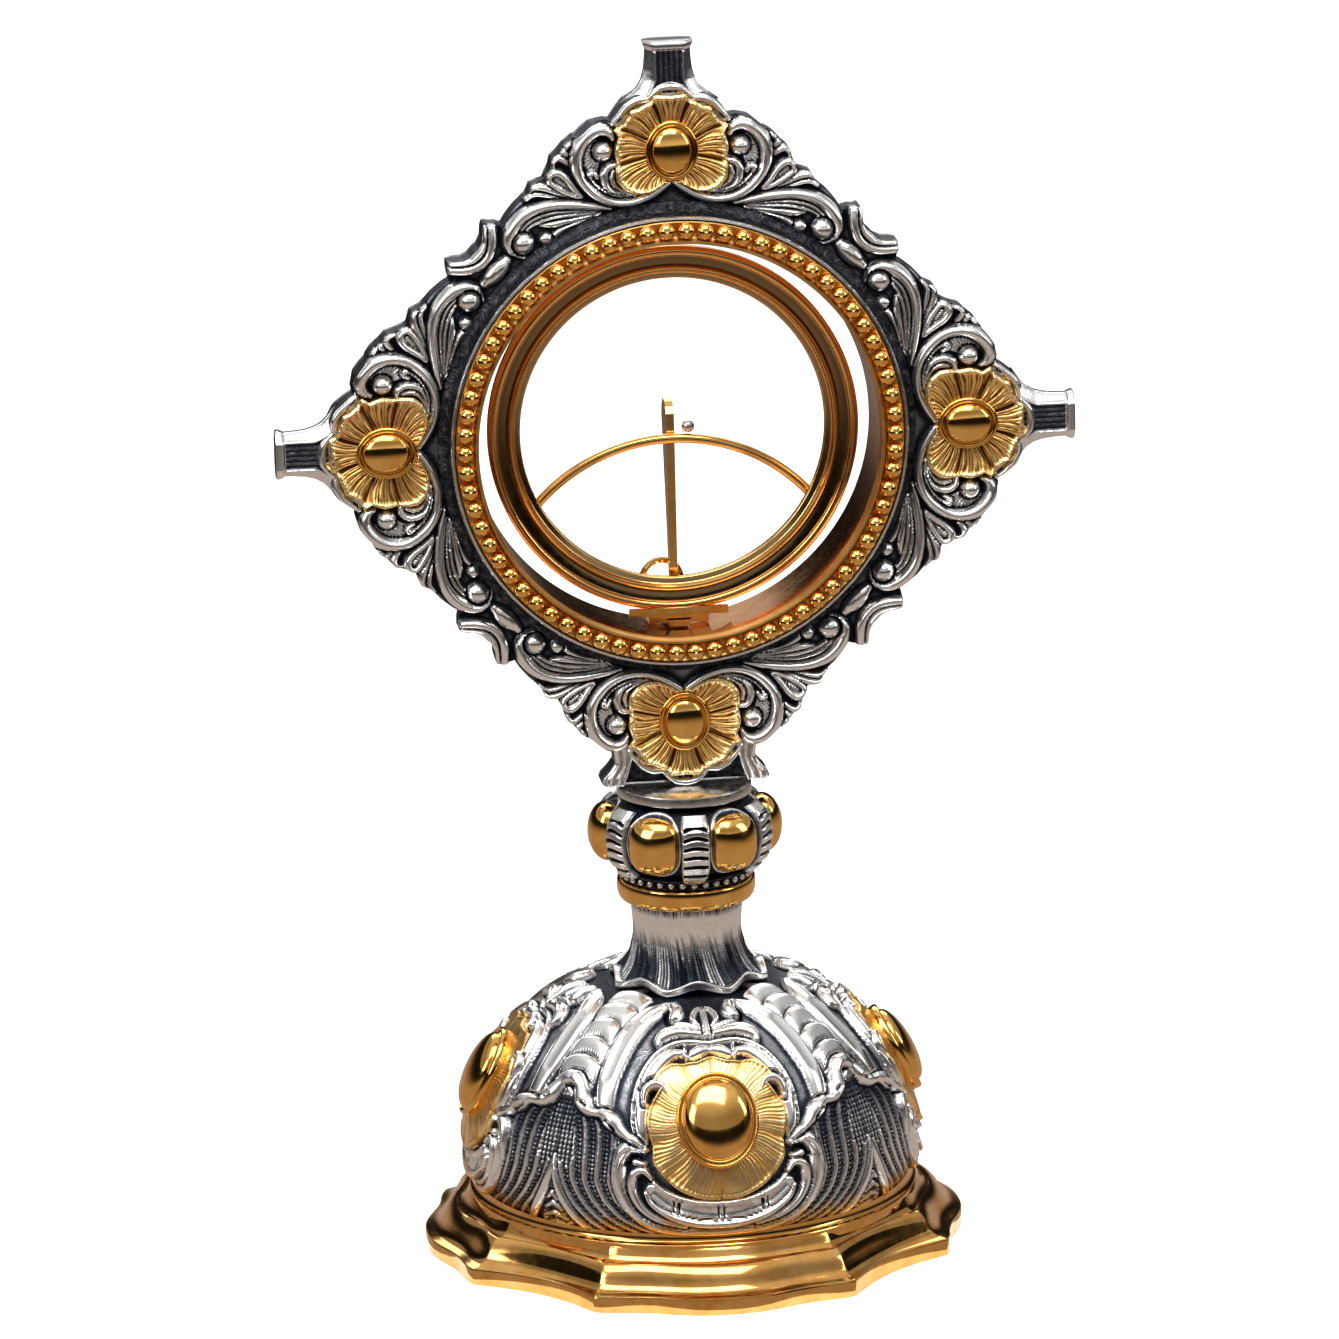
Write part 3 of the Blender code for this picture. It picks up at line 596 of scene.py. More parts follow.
    # clasp on the diagonal
    t.roll([(41.2, 46.6, 1.2, 5.0), (42.4, 45.4, 1.8, 5.7), (43.9, 43.9, 2.1, 5.9)])
    t.roll([(44.9, 55.2, 1.05, 5.8), (44.8, 52.6, 1.2, 6.2), (45.1, 50.2, 1.25, 6.4), (45.9, 48.2, 1.2, 6.4),
            (46.9, 46.9, 1.15, 6.4)], power=0.4)
    t.roll([(46.5, 55.2, 0.55, 5.8), (46.6, 53, 0.65, 6.3), (46.9, 51.2, 0.8, 6.5), (47.5, 49.7, 1.0, 6.6),
            (48.6, 48.4, 1.15, 6.6)], cut=0.2)
    rounding = np.clip(1 - (edge[:, None] - r) / 0.9, 0, 1)
    t.h = t.h - 1.3 * (1 - np.sqrt(np.clip(1 - rounding ** 2, 0, 1)))
    return t.h, r


def folded(values):
    """One eighth repeated round the whole circle by mirroring."""
    mirrored = np.concatenate([values, values[-2:0:-1]])
    return np.concatenate([mirrored] * 4)


def make_frame():
    """The front casting of the lozenge, and a softer one behind with pads for the screws."""
    h, r = (folded(values) for values in octant_relief())
    turn = np.linspace(0, TAU, 8 * OCTANT, endpoint=False)[:, None]
    lower = np.clip(-np.cos(turn) * 3, 0, 1) * np.sin(2 * turn) ** 2
    r = r - lower * 0.028 * (r - FRAME_INNER)
    h = h[:, ::-1]
    x, z = (r * np.sin(turn))[:, ::-1], (r * np.cos(turn))[:, ::-1]
    front = np.stack([x, -h, z + RING], axis=-1)
    middle = np.stack([x, np.full_like(h, -SEAM), z + RING], axis=-1)
    shell("frame_front_relief", front, middle, True, SILVER, "stand", "silver", ["frame_front"],
          recesses(h, GROUND))
    soft = FACE + 0.1 + 0.62 * (blurred(h, 1) - GROUND)
    for x0, z0 in ((0, BACK_PAD), (0, -BACK_PAD), (BACK_PAD, 0), (-BACK_PAD, 0)):
        pad = np.clip((6.2 - np.hypot(x - x0, z - z0)) / 0.6, 0, 1)
        soft = soft * (1 - pad) + (FACE + 0.9) * pad
    rear = np.stack([x, soft, z + RING], axis=-1)
    middle = middle * np.array([1, -1, 1])
    shell("frame_back_relief", rear[::-1], middle[::-1], True, SILVER, "stand", "silver", ["frame_back"],
          recesses(soft, FACE + 0.1, depth=0.4)[::-1])


# an arm's outline: (up from the ring's middle, half width)
ARM_EDGE = [(84, 12.5), (86, 9.6), (87.6, 7.8), (89.5, 6.7), (92, 6.0), (95, 5.7), (97.3, 5.6), (98.2, 6.0),
            (99.1, 6.2), (99.4, 6.0)]
ARM_LIP = 97.0


def arm(front):
    """A flared, fluted arm as a grid across and along: half of its depth, front or back."""
    share = np.linspace(-1, 1, 61)[:, None]
    up = np.concatenate([np.linspace(84, 97.2, 40), [97.5, 97.8, 98.1, 98.5, 98.9, 99.2, 99.35]])[None, :]
    across = np.interp(up, [p[0] for p in ARM_EDGE], [p[1] for p in ARM_EDGE])
    x = share * across
    flat = 3.3 + 0.25 * np.clip(90 - up, 0, 6) ** 1.4
    side = np.clip((np.abs(x) - flat) / (across - flat), 0, 1)
    h = 4.1 - 2.6 * side ** 1.3
    panel = (np.abs(x) < flat) * (up < ARM_LIP)
    flute = 0.28 * np.abs(np.sin(x / flat * math.pi * 2.5)) * panel
    edge_roll = np.exp(-((np.abs(x) - flat - 0.35) / 0.35) ** 2) * 0.55 * (up < ARM_LIP)
    lip = np.clip((up - 97.2) / 0.5, 0, 1) * 0.9 - np.clip((up - 98.9) / 0.45, 0, 1) ** 2 * 0.5
    h = h - 0.45 * panel + flute * 1.2 + edge_roll + lip
    h = h - 0.8 * np.clip((np.abs(share) - 0.93) / 0.07, 0, 1) ** 2
    up = np.broadcast_to(up, h.shape)
    dark = np.clip((np.abs(x) < flat) * 0.8 - flute * 1.3 + 0.14, 0, 1) * (up < ARM_LIP)
    # painted shade: darker towards the arm's root, where it runs in under the frame's rim
    dark = np.maximum(dark, np.clip((86.5 - up) / 3, 0, 0.6))
    if not front:
        h = 0.72 * h
    return x, h, up, dark


def make_arms():
    for name, turn in (("top", 0), ("right", 90), ("left", -90)):
        c, s = math.cos(math.radians(turn)), math.sin(math.radians(turn))
        for side in ("front", "back"):
            x, h, up, dark = arm(side == "front")
            sign = -1 if side == "front" else 1
            outer = np.stack([x * c + up * s, sign * h, up * c - x * s + RING], axis=-1)
            inner = outer.copy()
            inner[..., 1] = sign * SEAM
            if side == "front":
                outer, inner, dark = outer[:, ::-1], inner[:, ::-1], dark[:, ::-1]
            shell(f"arm_{name}_{side}", outer, inner, False, SILVER, "stand", "silver", recess=dark)


# petals of a rosette: (angle from its top, distance from the boss's middle)
PETALS = [(0, 13.8), (10, 14.2), (16, 14.6), (21, 13.4), (29, 13.5), (37, 13.7), (43.5, 14.6), (49, 13.9),
          (60, 13.9), (67.5, 15.3), (73, 13.6), (87, 14.1), (99, 13.8), (108, 14.6), (118, 15.4), (128, 15.1),
          (139, 13.8), (149, 12.0), (156, 10.1), (165, 8.3), (180, 8.0)]
PETAL_EDGES = (20, 64, 103, 180)          # where one petal meets the next


def petal_heights(turn, share):
    """Height of the rosette's petals over their plate, and the dark of their engraved lines and creases, with
    painted shade towards the boss and a painted highlight along their rim.
    """
    turn = np.abs((turn + 180) % 360 - 180)
    crown = np.zeros(np.broadcast_shapes(turn.shape, share.shape))
    low = np.zeros_like(crown)
    start = -PETAL_EDGES[0]
    for end in PETAL_EDGES:
        inside = (turn >= start) & (turn < end)
        u = (turn - start) / (end - start)
        crown = np.where(inside, np.sin(np.clip(u, 0, 1) * math.pi) ** 0.5 * 0.8 - 0.25 * u, crown)
        low = np.where(inside, np.clip(1 - np.minimum(u, 1 - u) * (end - start) / 4.0, 0, 1), low)
        start = end
    curve = turn + 4 * np.sin(share * 3) + 1.2 * np.sin(turn * 0.5)
    lines = (0.5 + 0.5 * np.cos(curve * math.pi / 2.5)) ** 0.7
    body = np.clip(share * 4, 0, 1) * np.clip((1 - share) * 7, 0, 1)
    edge = np.exp(-((share - 0.93) / 0.06) ** 2)
    patch = 0.5 + 0.5 * np.sin(share * 9 + turn * 0.21) * np.sin(turn * 0.13 + 1.0)
    h = crown * (0.3 + 0.9 * share) + (0.3 + 0.22 * patch) * lines * body * (1 - low) + 0.55 * edge
    h = h - 0.9 * np.clip(share - 0.96, 0, 1) / 0.04 - 0.35 * low * body
    # painted shade towards the boss, 0.3 * (1 - share), and a painted highlight along the rim, - 0.6 * edge;
    # the rest is the dark of the engraved lines and the creases
    dark = (0.5 + 0.5 * patch) * (1 - lines) * body + 0.7 * low * body + 0.3 * (1 - share) - 0.6 * edge
    return h, np.clip(dark, 0, 1)


def make_rosettes():
    turn = np.linspace(0, 360, 360, endpoint=False)[:, None]
    share = np.linspace(0, 1, 34)[None, :]
    folded_turn = np.abs((turn + 180) % 360 - 180)
    reach = np.interp(folded_turn, [p[0] for p in PETALS], [p[1] for p in PETALS])
    r = 4.6 + (reach - 4.6) * share
    h, dark = petal_heights(turn, share)
    h = 4.35 + h + 0.9 * share ** 2
    h = h - 0.5 * np.clip((folded_turn - 120) / 60, 0, 1) * share
    for name, angle in (("top", 0), ("right", 90), ("bottom", 180), ("left", -90)):
        a = math.radians(angle)
        u, v = r * np.sin(np.radians(turn)), r * np.cos(np.radians(turn)) + ROSETTE
        x, z = u * math.cos(a) + v * math.sin(a), v * math.cos(a) - u * math.sin(a)
        outer = np.stack([x, -h, z + RING], axis=-1)[:, ::-1]
        inner = outer.copy()
        inner[..., 1] = -(FACE + 0.3)
        shell(f"petals_{name}", outer, inner, True, GOLD_MATTE, "stand", "gilt_matte", ["rosette_" + name],
              dark[:, ::-1])
        rear = outer * np.array([1, -0.86, 1])
        inner = inner * np.array([1, -1, 1])
        # the silver back carries the same dark, its painted shade and highlight included
        shell(f"petals_{name}_back", rear[::-1], inner[::-1], True, SILVER, "stand", "silver",
              recess=dark[::-1, ::-1])
        boss = oval([(6.5, 7.5, 3.4), (6.6, 7.6, 5.2), (6.35, 7.35, 5.75), (5.9, 6.9, 5.9), (5.45, 6.4, 5.7),
                     (5.2, 6.15, 5.3), (5.1, 6.05, 5.35)], 5.1, 6.05, 2.75)
        x, z = boss[0][:, 0], boss[0][:, 1] + ROSETTE
        verts = np.stack([x * math.cos(a) + z * math.sin(a), -boss[0][:, 2],
                          z * math.cos(a) - x * math.sin(a) + RING], axis=-1)
        body_mesh(f"cabochon_{name}", verts, boss[1], GOLD, "stand", "gilt", ["rosette_boss_" + name])


def oval(rim, across, up, rise):
    """An oval cabochon in its rim, in its own plane: rim rows are (across, up, height)."""
    steps = 72
    rows = list(rim)
    base = rim[-1][2]
    for i in range(1, 15):
        slope = i / 14.3 * math.pi / 2
        rows.append((across * math.cos(slope), up * math.cos(slope), base + rise * math.sin(slope)))
    rows = np.array(rows)
    turn = np.arange(steps) * TAU / steps
    points = np.stack([np.outer(np.sin(turn), rows[:, 0]), np.outer(np.cos(turn), rows[:, 1]),
                       np.tile(rows[:, 2], (steps, 1))], axis=-1)
    n = len(rows)
    number = np.arange(steps * n).reshape(steps, n)
    quads = [strip_quads(number[i], number[(i + 1) % steps], False) for i in range(steps)]
    quads += [cap(number[:, 0], False), cap(number[:, -1], True)]
    return points.reshape(-1, 3), np.concatenate(quads)


def make_legs():
    """The flared, leafed feet of the bottom rosette's frame, and black sheets between them as a painted shadow
    of the hollow.
    """
    for side in (-1, 1):
        share = np.linspace(0, 1, 30)[:, None]
        down = np.linspace(0, 1, 40)[None, :]
        inner_edge = np.interp(down, [0, 0.35, 0.7, 1], [12.5, 13.2, 14.2, 15.5])
        outer_edge = np.interp(down, [0, 0.25, 0.45, 0.62, 0.8, 0.93, 1],
                               [18.4, 17.8, 17.6, 18.8, 20.6, 21.1, 20.2])
        x = inner_edge + (outer_edge - inner_edge) * share
        z = np.broadcast_to(-78.0 - 10.3 * down, x.shape)
        h = 4.4 + 0.7 * np.sin(share * math.pi * 3.0 + down * 1.5) ** 2 + 0.4 * down
        h = h - 20 * np.clip(np.abs(share - 0.5) * 2 - 0.8, 0, 1) ** 2
        dark = recesses(h, 3.2, reach=2, gain=1.6, wrap=False)
        outer = np.stack([side * x, -h, z + RING], axis=-1)
        inner = outer.copy()
        inner[..., 1] = -SEAM
        if side < 0:
            outer, inner, dark = outer[::-1], inner[::-1], dark[::-1]
        name = "leg_left" if side < 0 else "leg_right"
        shell(name, outer, inner, False, SILVER, "stand", "silver", recess=dark)
        rear, rear_inner = outer * np.array([1, -0.8, 1]), inner * np.array([1, -1, 1])
        shell(name + "_back", rear[::-1], rear_inner[::-1], False, SILVER, "stand", "silver",
              recess=dark[::-1])
    # painted shadow: flat black sheets fill the hollow between the legs in place of its shade
    x, z = np.meshgrid(np.linspace(-15.2, 15.2, 24), RING - np.linspace(80, 88.5, 8), indexing="ij")
    for name, side in (("shadow_sheet_front", -1), ("shadow_sheet_back", 1)):
        outer = np.stack([x, np.full_like(x, side * 1.1), z], axis=-1)
        inner = np.stack([x, np.full_like(x, side * 0.2), z], axis=-1)
        if side > 0:
            outer, inner = outer[::-1], inner[::-1]
        shell(name, outer, inner, False, BLACK, "stand", "oxidised_silver")


BEAD_CIRCLE = 53.35


def make_bezel():
    """The oxidised collar with its bright rim, the beaded ring, and the chamber behind."""
    collar = [(59.5, 3.3), (59.4, 3.9), (58.2, 4.3), (57.4, 5.2), (57.0, 6.8), (56.8, 9.1), (56.6, 9.6),
              (56.2, 9.75), (55.95, 9.3), (55.9, 7.3), (51.7, 7.2), (51.7, 3.4)]
    ring_round_host("bezel_collar", collar, BLACK, "stand", "oxidised_silver", ["bezel_front"])
    rim = [(56.8, 8.9), (56.85, 9.4), (56.55, 9.9), (56.1, 10.0), (55.8, 9.6), (55.75, 8.9)]
    ring_round_host("bezel_rim", rim, SATIN, "stand", "silver")
    seat = [(55.7, 7.4), (55.6, 9.8), (55.4, 10.0), (54.8, 9.5), (BEAD_CIRCLE, 9.3), (51.9, 9.5), (51.2, 10.0),
            (50.9, 10.9), (50.35, 11.0), (50.0, 10.4), (50.0, 7.4)]
    ring_round_host("bead_seat", seat, GOLD_DULL, "stand", "gilt", ["bead_ring"])
    beads, count = [], 70
    for i in range(count):
        turn = (i + 0.5) * TAU / count
        verts, quads = ball_parts((2.2, 2.2, 2.2), 22, 12)
        verts = np.stack([verts[:, 0] + BEAD_CIRCLE * math.sin(turn), verts[:, 2] - 10.2,
                          verts[:, 1] + BEAD_CIRCLE * math.cos(turn) + RING], axis=-1)
        beads.append((verts, quads[:, ::-1]))
    body_mesh("gilt_beads", *joined(beads), GOLD, "stand", "gilt")
    back = [(51.7, -3.4), (57.5, -3.4), (57.5, -6.0), (56.9, -6.6), (56.9, -9.2), (56.3, -10.4), (55.2, -11.2),
            (54.0, -11.4), (53.2, -11.9), (51.9, -12.0), (51.7, -11.8)]
    ring_round_host("bezel_back_collar", back, SATIN, "stand", "satin_nickel", ["bezel_back"])
    wall = [(50.0, 7.2), (51.2, 7.2), (51.2, -12.3), (51.0, -12.5), (50.2, -12.5), (50.0, -12.3)]
    ring_round_host("chamber_wall", wall, GOLD_LIP, "stand", "gilt", ["chamber_tube"])


def make_luna():
    """The stepped moulding that the host lies behind."""
    steps = [(45.9, -7.4), (38.3, -7.4), (38.0, -7.1), (38.0, -6.2), (38.1, -5.8), (38.4, -5.55),
             (39.5, -5.55), (39.8, -5.3), (40.0, -4.4), (40.2, -4.0), (40.7, -3.9), (41.1, -4.2),
             (41.3, -4.75), (41.6, -5.0), (41.9, -4.75), (43.6, -4.75), (44.0, -4.6), (44.1, -3.9),
             (44.5, -3.5), (45.3, -3.45), (45.9, -3.7), (46.2, -4.2), (46.2, -7.2)]
    ring_round_host("luna_moulding", steps, GOLD_LUNA, "luna", "gilt", ["luna_ring"], angle=50)


def make_clamp():
    """The bow of round wire and its ball; the blade and the loop keep their CAD shapes."""
    low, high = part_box("clamp_bow")
    y = (low.y + high.y) / 2 / MM
    bend = 45.6
    centre = high.z / MM - 1.25 - bend
    turn = np.radians(np.linspace(-54, 54, 97))
    path = np.stack([bend * np.sin(turn), np.full_like(turn, y), centre + bend * np.cos(turn)], axis=-1)
    verts, quads = tube_parts(path, 1.22)
    body_mesh("bow_wire", verts, quads, GOLD_RING, "clamp", "gilt", ["clamp_bow"])
    low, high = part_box("clamp_ball")
    middle = np.array((low + high) / 2) / MM
    verts, quads = ball_parts((1.6, 1.6, 1.6), 24, 14)
    body_mesh("bow_knob", verts + middle, quads, SATIN, "clamp", "gilt", ["clamp_ball"])


# ---------------------------------------------------------------- foot, dome, stem

# the neck's and the dome's outline: (distance down from the neck's upper part, radius, height)
OUTLINE = [(-2.3, 14.3, 87.7), (0, 14.15, 85.4), (5.4, 13.7, 80), (9.4, 14, 76), (13, 14.75, 72.5),
           (16.6, 16.8, 69.6), (21.1, 20.5, 66.9), (30.6, 29.5, 64), (40.1, 37.8, 59.3), (50, 45.2, 52.8),
           (56.5, 49.1, 47.6), (63, 52.2, 41.8), (72.8, 55.4, 32.5), (79.9, 56.2, 25.5), (86, 55.2, 19.5),
           (91, 52.2, 15.5)]
OUT_S, OUT_R, OUT_Z = spline([(s, r, z, 0) for s, r, z in OUTLINE], step=0.5)[:, :3].T


def on_outline(turn, s, lift):
    """Place on the dome: turn in degrees from the front, distance s down it, lift off it."""
    r, z = np.interp(s, OUT_S, OUT_R), np.interp(s, OUT_S, OUT_Z)
    dr = np.interp(s + 0.6, OUT_S, OUT_R) - np.interp(s - 0.6, OUT_S, OUT_R)
    dz = np.interp(s + 0.6, OUT_S, OUT_Z) - np.interp(s - 0.6, OUT_S, OUT_Z)
    length = np.hypot(dr, dz)
    r, z = r - dz / length * lift, z + dr / length * lift
    a = np.radians(turn)
    return np.stack(np.broadcast_arrays(r * np.sin(a), -r * np.cos(a), z), axis=-1)


DOME_COLUMNS = 124       # in one eighth
DOME_START, DOME_END = 21.0, 90.8        # distances down the outline
CARTOUCHE = 60.0         # distance down to a cartouche's middle


def dome_relief():
    """Heights over one eighth of the dome, in degrees from a cartouche's axis and mm down the outline."""
    turn = np.linspace(0, 45, DOME_COLUMNS + 1)[:, None]
    s = np.linspace(DOME_START, DOME_END, 210)[None, :]
    x, z = np.broadcast_arrays(turn, s)
    t = Relief(x, z, 0.0, np.interp(z, OUT_S, OUT_R) * math.pi / 180)
    # curtain of flutes below the shell rim: smooth ribs and rows of grains in turn
    near = np.interp(z, (56, 63, 70, 75, 80, 84.5, 88, 91), (30.5, 27.6, 27.6, 27.4, 25.3, 21, 14, 5))
    far = np.interp(z, (54, 62, 70, 76, 82, 91), (46.5, 45.2, 43.8, 41.8, 38, 29.5))
    flow = (x - near) / (far - near) * 4.2
    part = (flow + 0.12 * np.sin(z * 0.3)) % 1
    rib = np.clip(1 - ((part - 0.27) / 0.25) ** 2, 0, 1) ** 0.45
    row = np.clip(1 - ((part - 0.68) / 0.1) ** 2, 0, 1) ** 0.6
    row = row + 0.8 * np.clip(1 - ((part - 0.91) / 0.07) ** 2, 0, 1)
    grain = np.abs(np.sin(z * 2.9 + flow * 0.8))
    dense = (flow > 3.1) & (z < 74 - 5 * np.abs(flow - 3.8))
    rows = np.abs(np.sin(x * 2.4)) * (0.4 + 0.6 * np.abs(np.sin(z * 2.6)))
    t.h = np.where((z > 55) & (flow > -0.2), np.where(dense, 0.75 * rows, 0.95 * rib + 0.8 * row * grain), t.h)
    # forked leaves at the foot of the curtain
    t.roll([(45, 70.5, 0.5, 0.9), (44.2, 75, 1.0, 1.4), (41.6, 81, 1.3, 1.6), (37.2, 87, 1.2, 1.5),
            (33.6, 91, 1.0, 1.3)], power=0.36)
    for bar in (80.6, 83.2, 85.8, 88.6):
        reach = (bar - 77) * 0.42
        t.roll([(45, bar - 0.6, 0.75, 1.2), (45 - reach, bar + 0.9, 0.5, 1.0)])
    # ladder of scallops between the cartouches
    steps = (20.6, 26.4, 32.6, 38.8, 44.4, 50.0, 57.0)
    half = np.interp(z, (21, 27, 35, 50), (16, 12, 7.2, 7.0))
    u = (45 - x) / half
    for top, bottom in zip(steps[:-1], steps[1:]):
        share = (z - top - 2.0 * u ** 2) / (bottom - top)
        inside = (np.abs(u) < 1) & (share > 0.05) & (share < 1)
        hatch = 0.2 * np.abs(np.sin(x * 2.9)) * np.clip(share * 3 - 1.6, 0, 1)
        swell = np.sin(np.clip(share, 0, 1) ** 0.62 * math.pi) ** 0.55
        lift = 0.1 + (1.75 * swell + hatch) * np.clip(1 - u ** 2, 0, 1) ** 0.25
        t.h = np.where(inside, np.maximum(t.h, lift), t.h)
    # broad bands that frame the cartouche, each ending in a volute
    t.roll([(15.0, 25.2, 0.9, 1.7), (19.6, 26.1, 1.7, 2.0), (25.4, 28.8, 2.7, 2.1), (29.6, 33.4, 3.1, 2.1),
            (32.0, 39.0, 3.2, 2.0), (32.9, 45.5, 3.1, 1.9), (33.0, 52, 2.7, 1.8), (32.0, 59, 2.1, 1.5)],
           power=0.28)
    t.cut([(21.6, 28.0, 0.3, 0.4), (25.6, 30.4, 0.45, 0.6), (28.2, 33.6, 0.35, 0.3)])
    t.cut([(31.4, 35, 1.6, 0.35), (33.0, 42, 1.8, 0.45), (33.6, 50, 1.5, 0.35)])
    t.roll([(14.9, 26.4, 1.7, 2.6), (13.2, 28.6, 1.9, 2.9), (14.2, 31.0, 1.5, 2.5)], power=0.4, cut=0.3)
    t.cut([(18.2, 26.6, 0.35, 1.4), (19.4, 28.2, 0.6, 2.0), (18.6, 30.4, 0.5, 2.0), (16.6, 32.8, 0.4, 1.6)])
    # palmette over the cartouche
    t.roll([(2.4, 33.9, 0.5, 1.5), (5.0, 32.0, 0.85, 1.9), (5.3, 29.4, 0.9, 1.8), (3.4, 27.2, 0.7, 1.6),
            (0, 26.4, 0.6, 1.4)], power=0.4)
    t.roll([(0, 36.8, 1.3, 2.0), (4, 34.6, 1.1, 1.9), (9, 33.2, 1.1, 1.9), (13.2, 33.0, 0.7, 1.6)], power=0.4)
    t.roll([(-1, 36.7, 1.1, 1.9), (6, 35.7, 1.3, 2.0), (11.6, 35.2, 1.8, 2.3), (16.2, 36.0, 2.0, 2.4),
            (18.9, 38.0, 1.5, 2.1), (18.8, 39.8, 0.8, 1.6)], power=0.36, cut=0.25)
    t.cut([(6, 35.5, 0.25, 0.4), (12, 34.9, 0.3, 0.5), (16.6, 36.2, 0.3, 0.5)])
    t.roll([(0, 36.6, 1.1, 2.0), (0, 32, 0.95, 2.3), (0, 29.2, 0.85, 2.2), (0, 27.0, 0.5, 1.6)], power=0.4)
    # inner frame of the cartouche
    t.roll([(-1, 38.9, 0.75, 1.1), (8, 38.3, 0.8, 1.3), (14.4, 39.4, 0.8, 1.4), (19.6, 42.8, 0.75, 1.5),
            (22.6, 48, 0.75, 1.5), (23.8, 54, 0.7, 1.5), (23.4, 60, 0.65, 1.3), (21.8, 64.4, 0.5, 1.1)])
    t.roll([(1.2, 41.0, 1.2, 1.8), (3.8, 41.4, 1.7, 2.2), (6.6, 42.6, 1.4, 2.0)], power=0.4)
    t.roll([(8.9, 40.2, 0.5, 2.3), (8.5, 43.6, 0.5, 2.2)])
    t.roll([(10.4, 42.0, 1.2, 1.9), (13.8, 42.4, 1.6, 2.2), (17.2, 44.8, 1.9, 2.4), (19.6, 48.6, 1.9, 2.5),
            (20.8, 53.5, 1.8, 2.3), (21.2, 58.4, 1.7, 2.2), (20.4, 62.8, 1.4, 2.0), (19.6, 65.2, 0.9, 1.6)],
           power=0.32)
    t.cut([(12, 41.2, 0.3, 0.4), (17.2, 43.4, 0.3, 0.5), (20.8, 48.6, 0.3, 0.5), (22.2, 55, 0.25, 0.4)])
    t.roll([(14.4, 53.0, 0.6, 2.0), (15.6, 51.3, 1.1, 2.5), (18.2, 50.9, 1.4, 2.8), (20.4, 52.6, 1.3, 2.7),
            (20.4, 55.8, 0.9, 2.3)], power=0.4, cut=0.5)
    t.cut([(16.6, 52.6, 0.6, 1.6), (18.7, 52.9, 0.7, 1.9), (19.7, 55.2, 0.5, 1.5)])
    # crescent under the cartouche: a slotted hollow between two rolls with nested volutes
    t.roll([(19.4, 66.9, 0.9, 2.0), (22.2, 66.1, 1.5, 2.6), (25.0, 67.4, 1.9, 2.8), (26.0, 71.2, 1.9, 2.7),
            (25.6, 76.2, 1.8, 2.5), (22.8, 81.2, 1.7, 2.4), (17.4, 85.3, 1.6, 2.2), (10, 87.4, 1.5, 2.1),
            (-1, 88.1, 1.5, 2.1)], power=0.38)
    t.cut([(22.0, 66.2, 0.3, 0.5), (24.8, 68.2, 0.35, 0.6), (26.6, 72, 0.35, 0.6), (26.4, 77, 0.35, 0.6),
           (22.8, 82.6, 0.3, 0.5)])
    t.cut([(24.2, 70.6, 0.5, 1.6), (22.6, 68.7, 0.55, 1.6), (20.4, 69.0, 0.45, 1.2)])
    t.roll([(19.6, 70.4, 0.8, 2.0), (21.6, 70.0, 1.05, 2.3)], power=0.4, cut=0.3)
    t.roll([(17.6, 73.6, 0.6, 1.8), (19.6, 71.9, 1.0, 2.1), (22.0, 72.9, 1.2, 2.3), (22.4, 76.6, 1.15, 2.2),
            (20.0, 81.0, 1.0, 2.1), (15.6, 84.0, 0.8, 1.9), (9, 85.9, 0.5, 1.6)], power=0.4)
    t.fill([(17.6, 76.6, 1.7, 1.5), (13, 79.6, 2.6, 1.5), (7, 81.5, 2.9, 1.5), (-1, 82.2, 3.0, 1.5)])
    t.cut([(16.8, 77.0, 0.9, 0.8), (12, 79.8, 1.7, 1.1), (6, 81.5, 1.9, 1.1), (-1, 82.1, 2.0, 1.1)])
    t.roll([(18.9, 77.2, 0.6, 1.9), (17.2, 80.0, 0.8, 2.2), (12.4, 83.0, 1.0, 2.4), (6, 84.8, 1.1, 2.5),
            (-1, 85.2, 1.1, 2.5)], power=0.45, cut=0.2)
    t.roll([(17.0, 74.6, 0.4, 1.7), (13.6, 77.0, 0.45, 1.8), (7, 79.2, 0.5, 1.8), (-1, 79.9, 0.5, 1.8)],
           power=0.5, cut=0.0)
    for a in (0.75, 10.6, 12.0):
        t.cut([(a, 81.4 - 0.012 * a * a, 0.32, 1.9), (a, 83.6 - 0.012 * a * a, 0.32, 1.9)])
    # ruffled rim of the shell
    t.roll([(47, 51.6, 1.6, 2.6), (44.0, 51.4, 2.1, 2.9), (41.4, 53.4, 1.8, 2.4), (39.4, 56.4, 2.3, 2.9),
            (37.2, 58.3, 1.7, 2.4), (34.8, 58.9, 1.2, 2.1), (32.4, 59.0, 1.4, 2.3), (29.4, 60.4, 2.2, 2.8),
            (26.8, 62.4, 1.5, 2.3), (24.6, 63.8, 1.1, 2.1), (22.4, 64.8, 1.2, 2.2), (20.6, 65.9, 0.8, 1.8)],
           power=0.38, cut=0.45)
    t.cut([(46.5, 53.2, 0.5, 1.2), (43.4, 53.6, 0.55, 1.2)])
    t.cut([(39.4, 57.0, 0.6, 1.5), (37.8, 57.7, 0.55, 1.4)])
    t.cut([(31.0, 60.6, 0.5, 1.4), (28.2, 62.6, 0.6, 1.5)])
    t.cut([(36.2, 57.8, 0.3, 0.7), (33.2, 58.2, 0.3, 0.7)])
    return t.h, x, z, flow


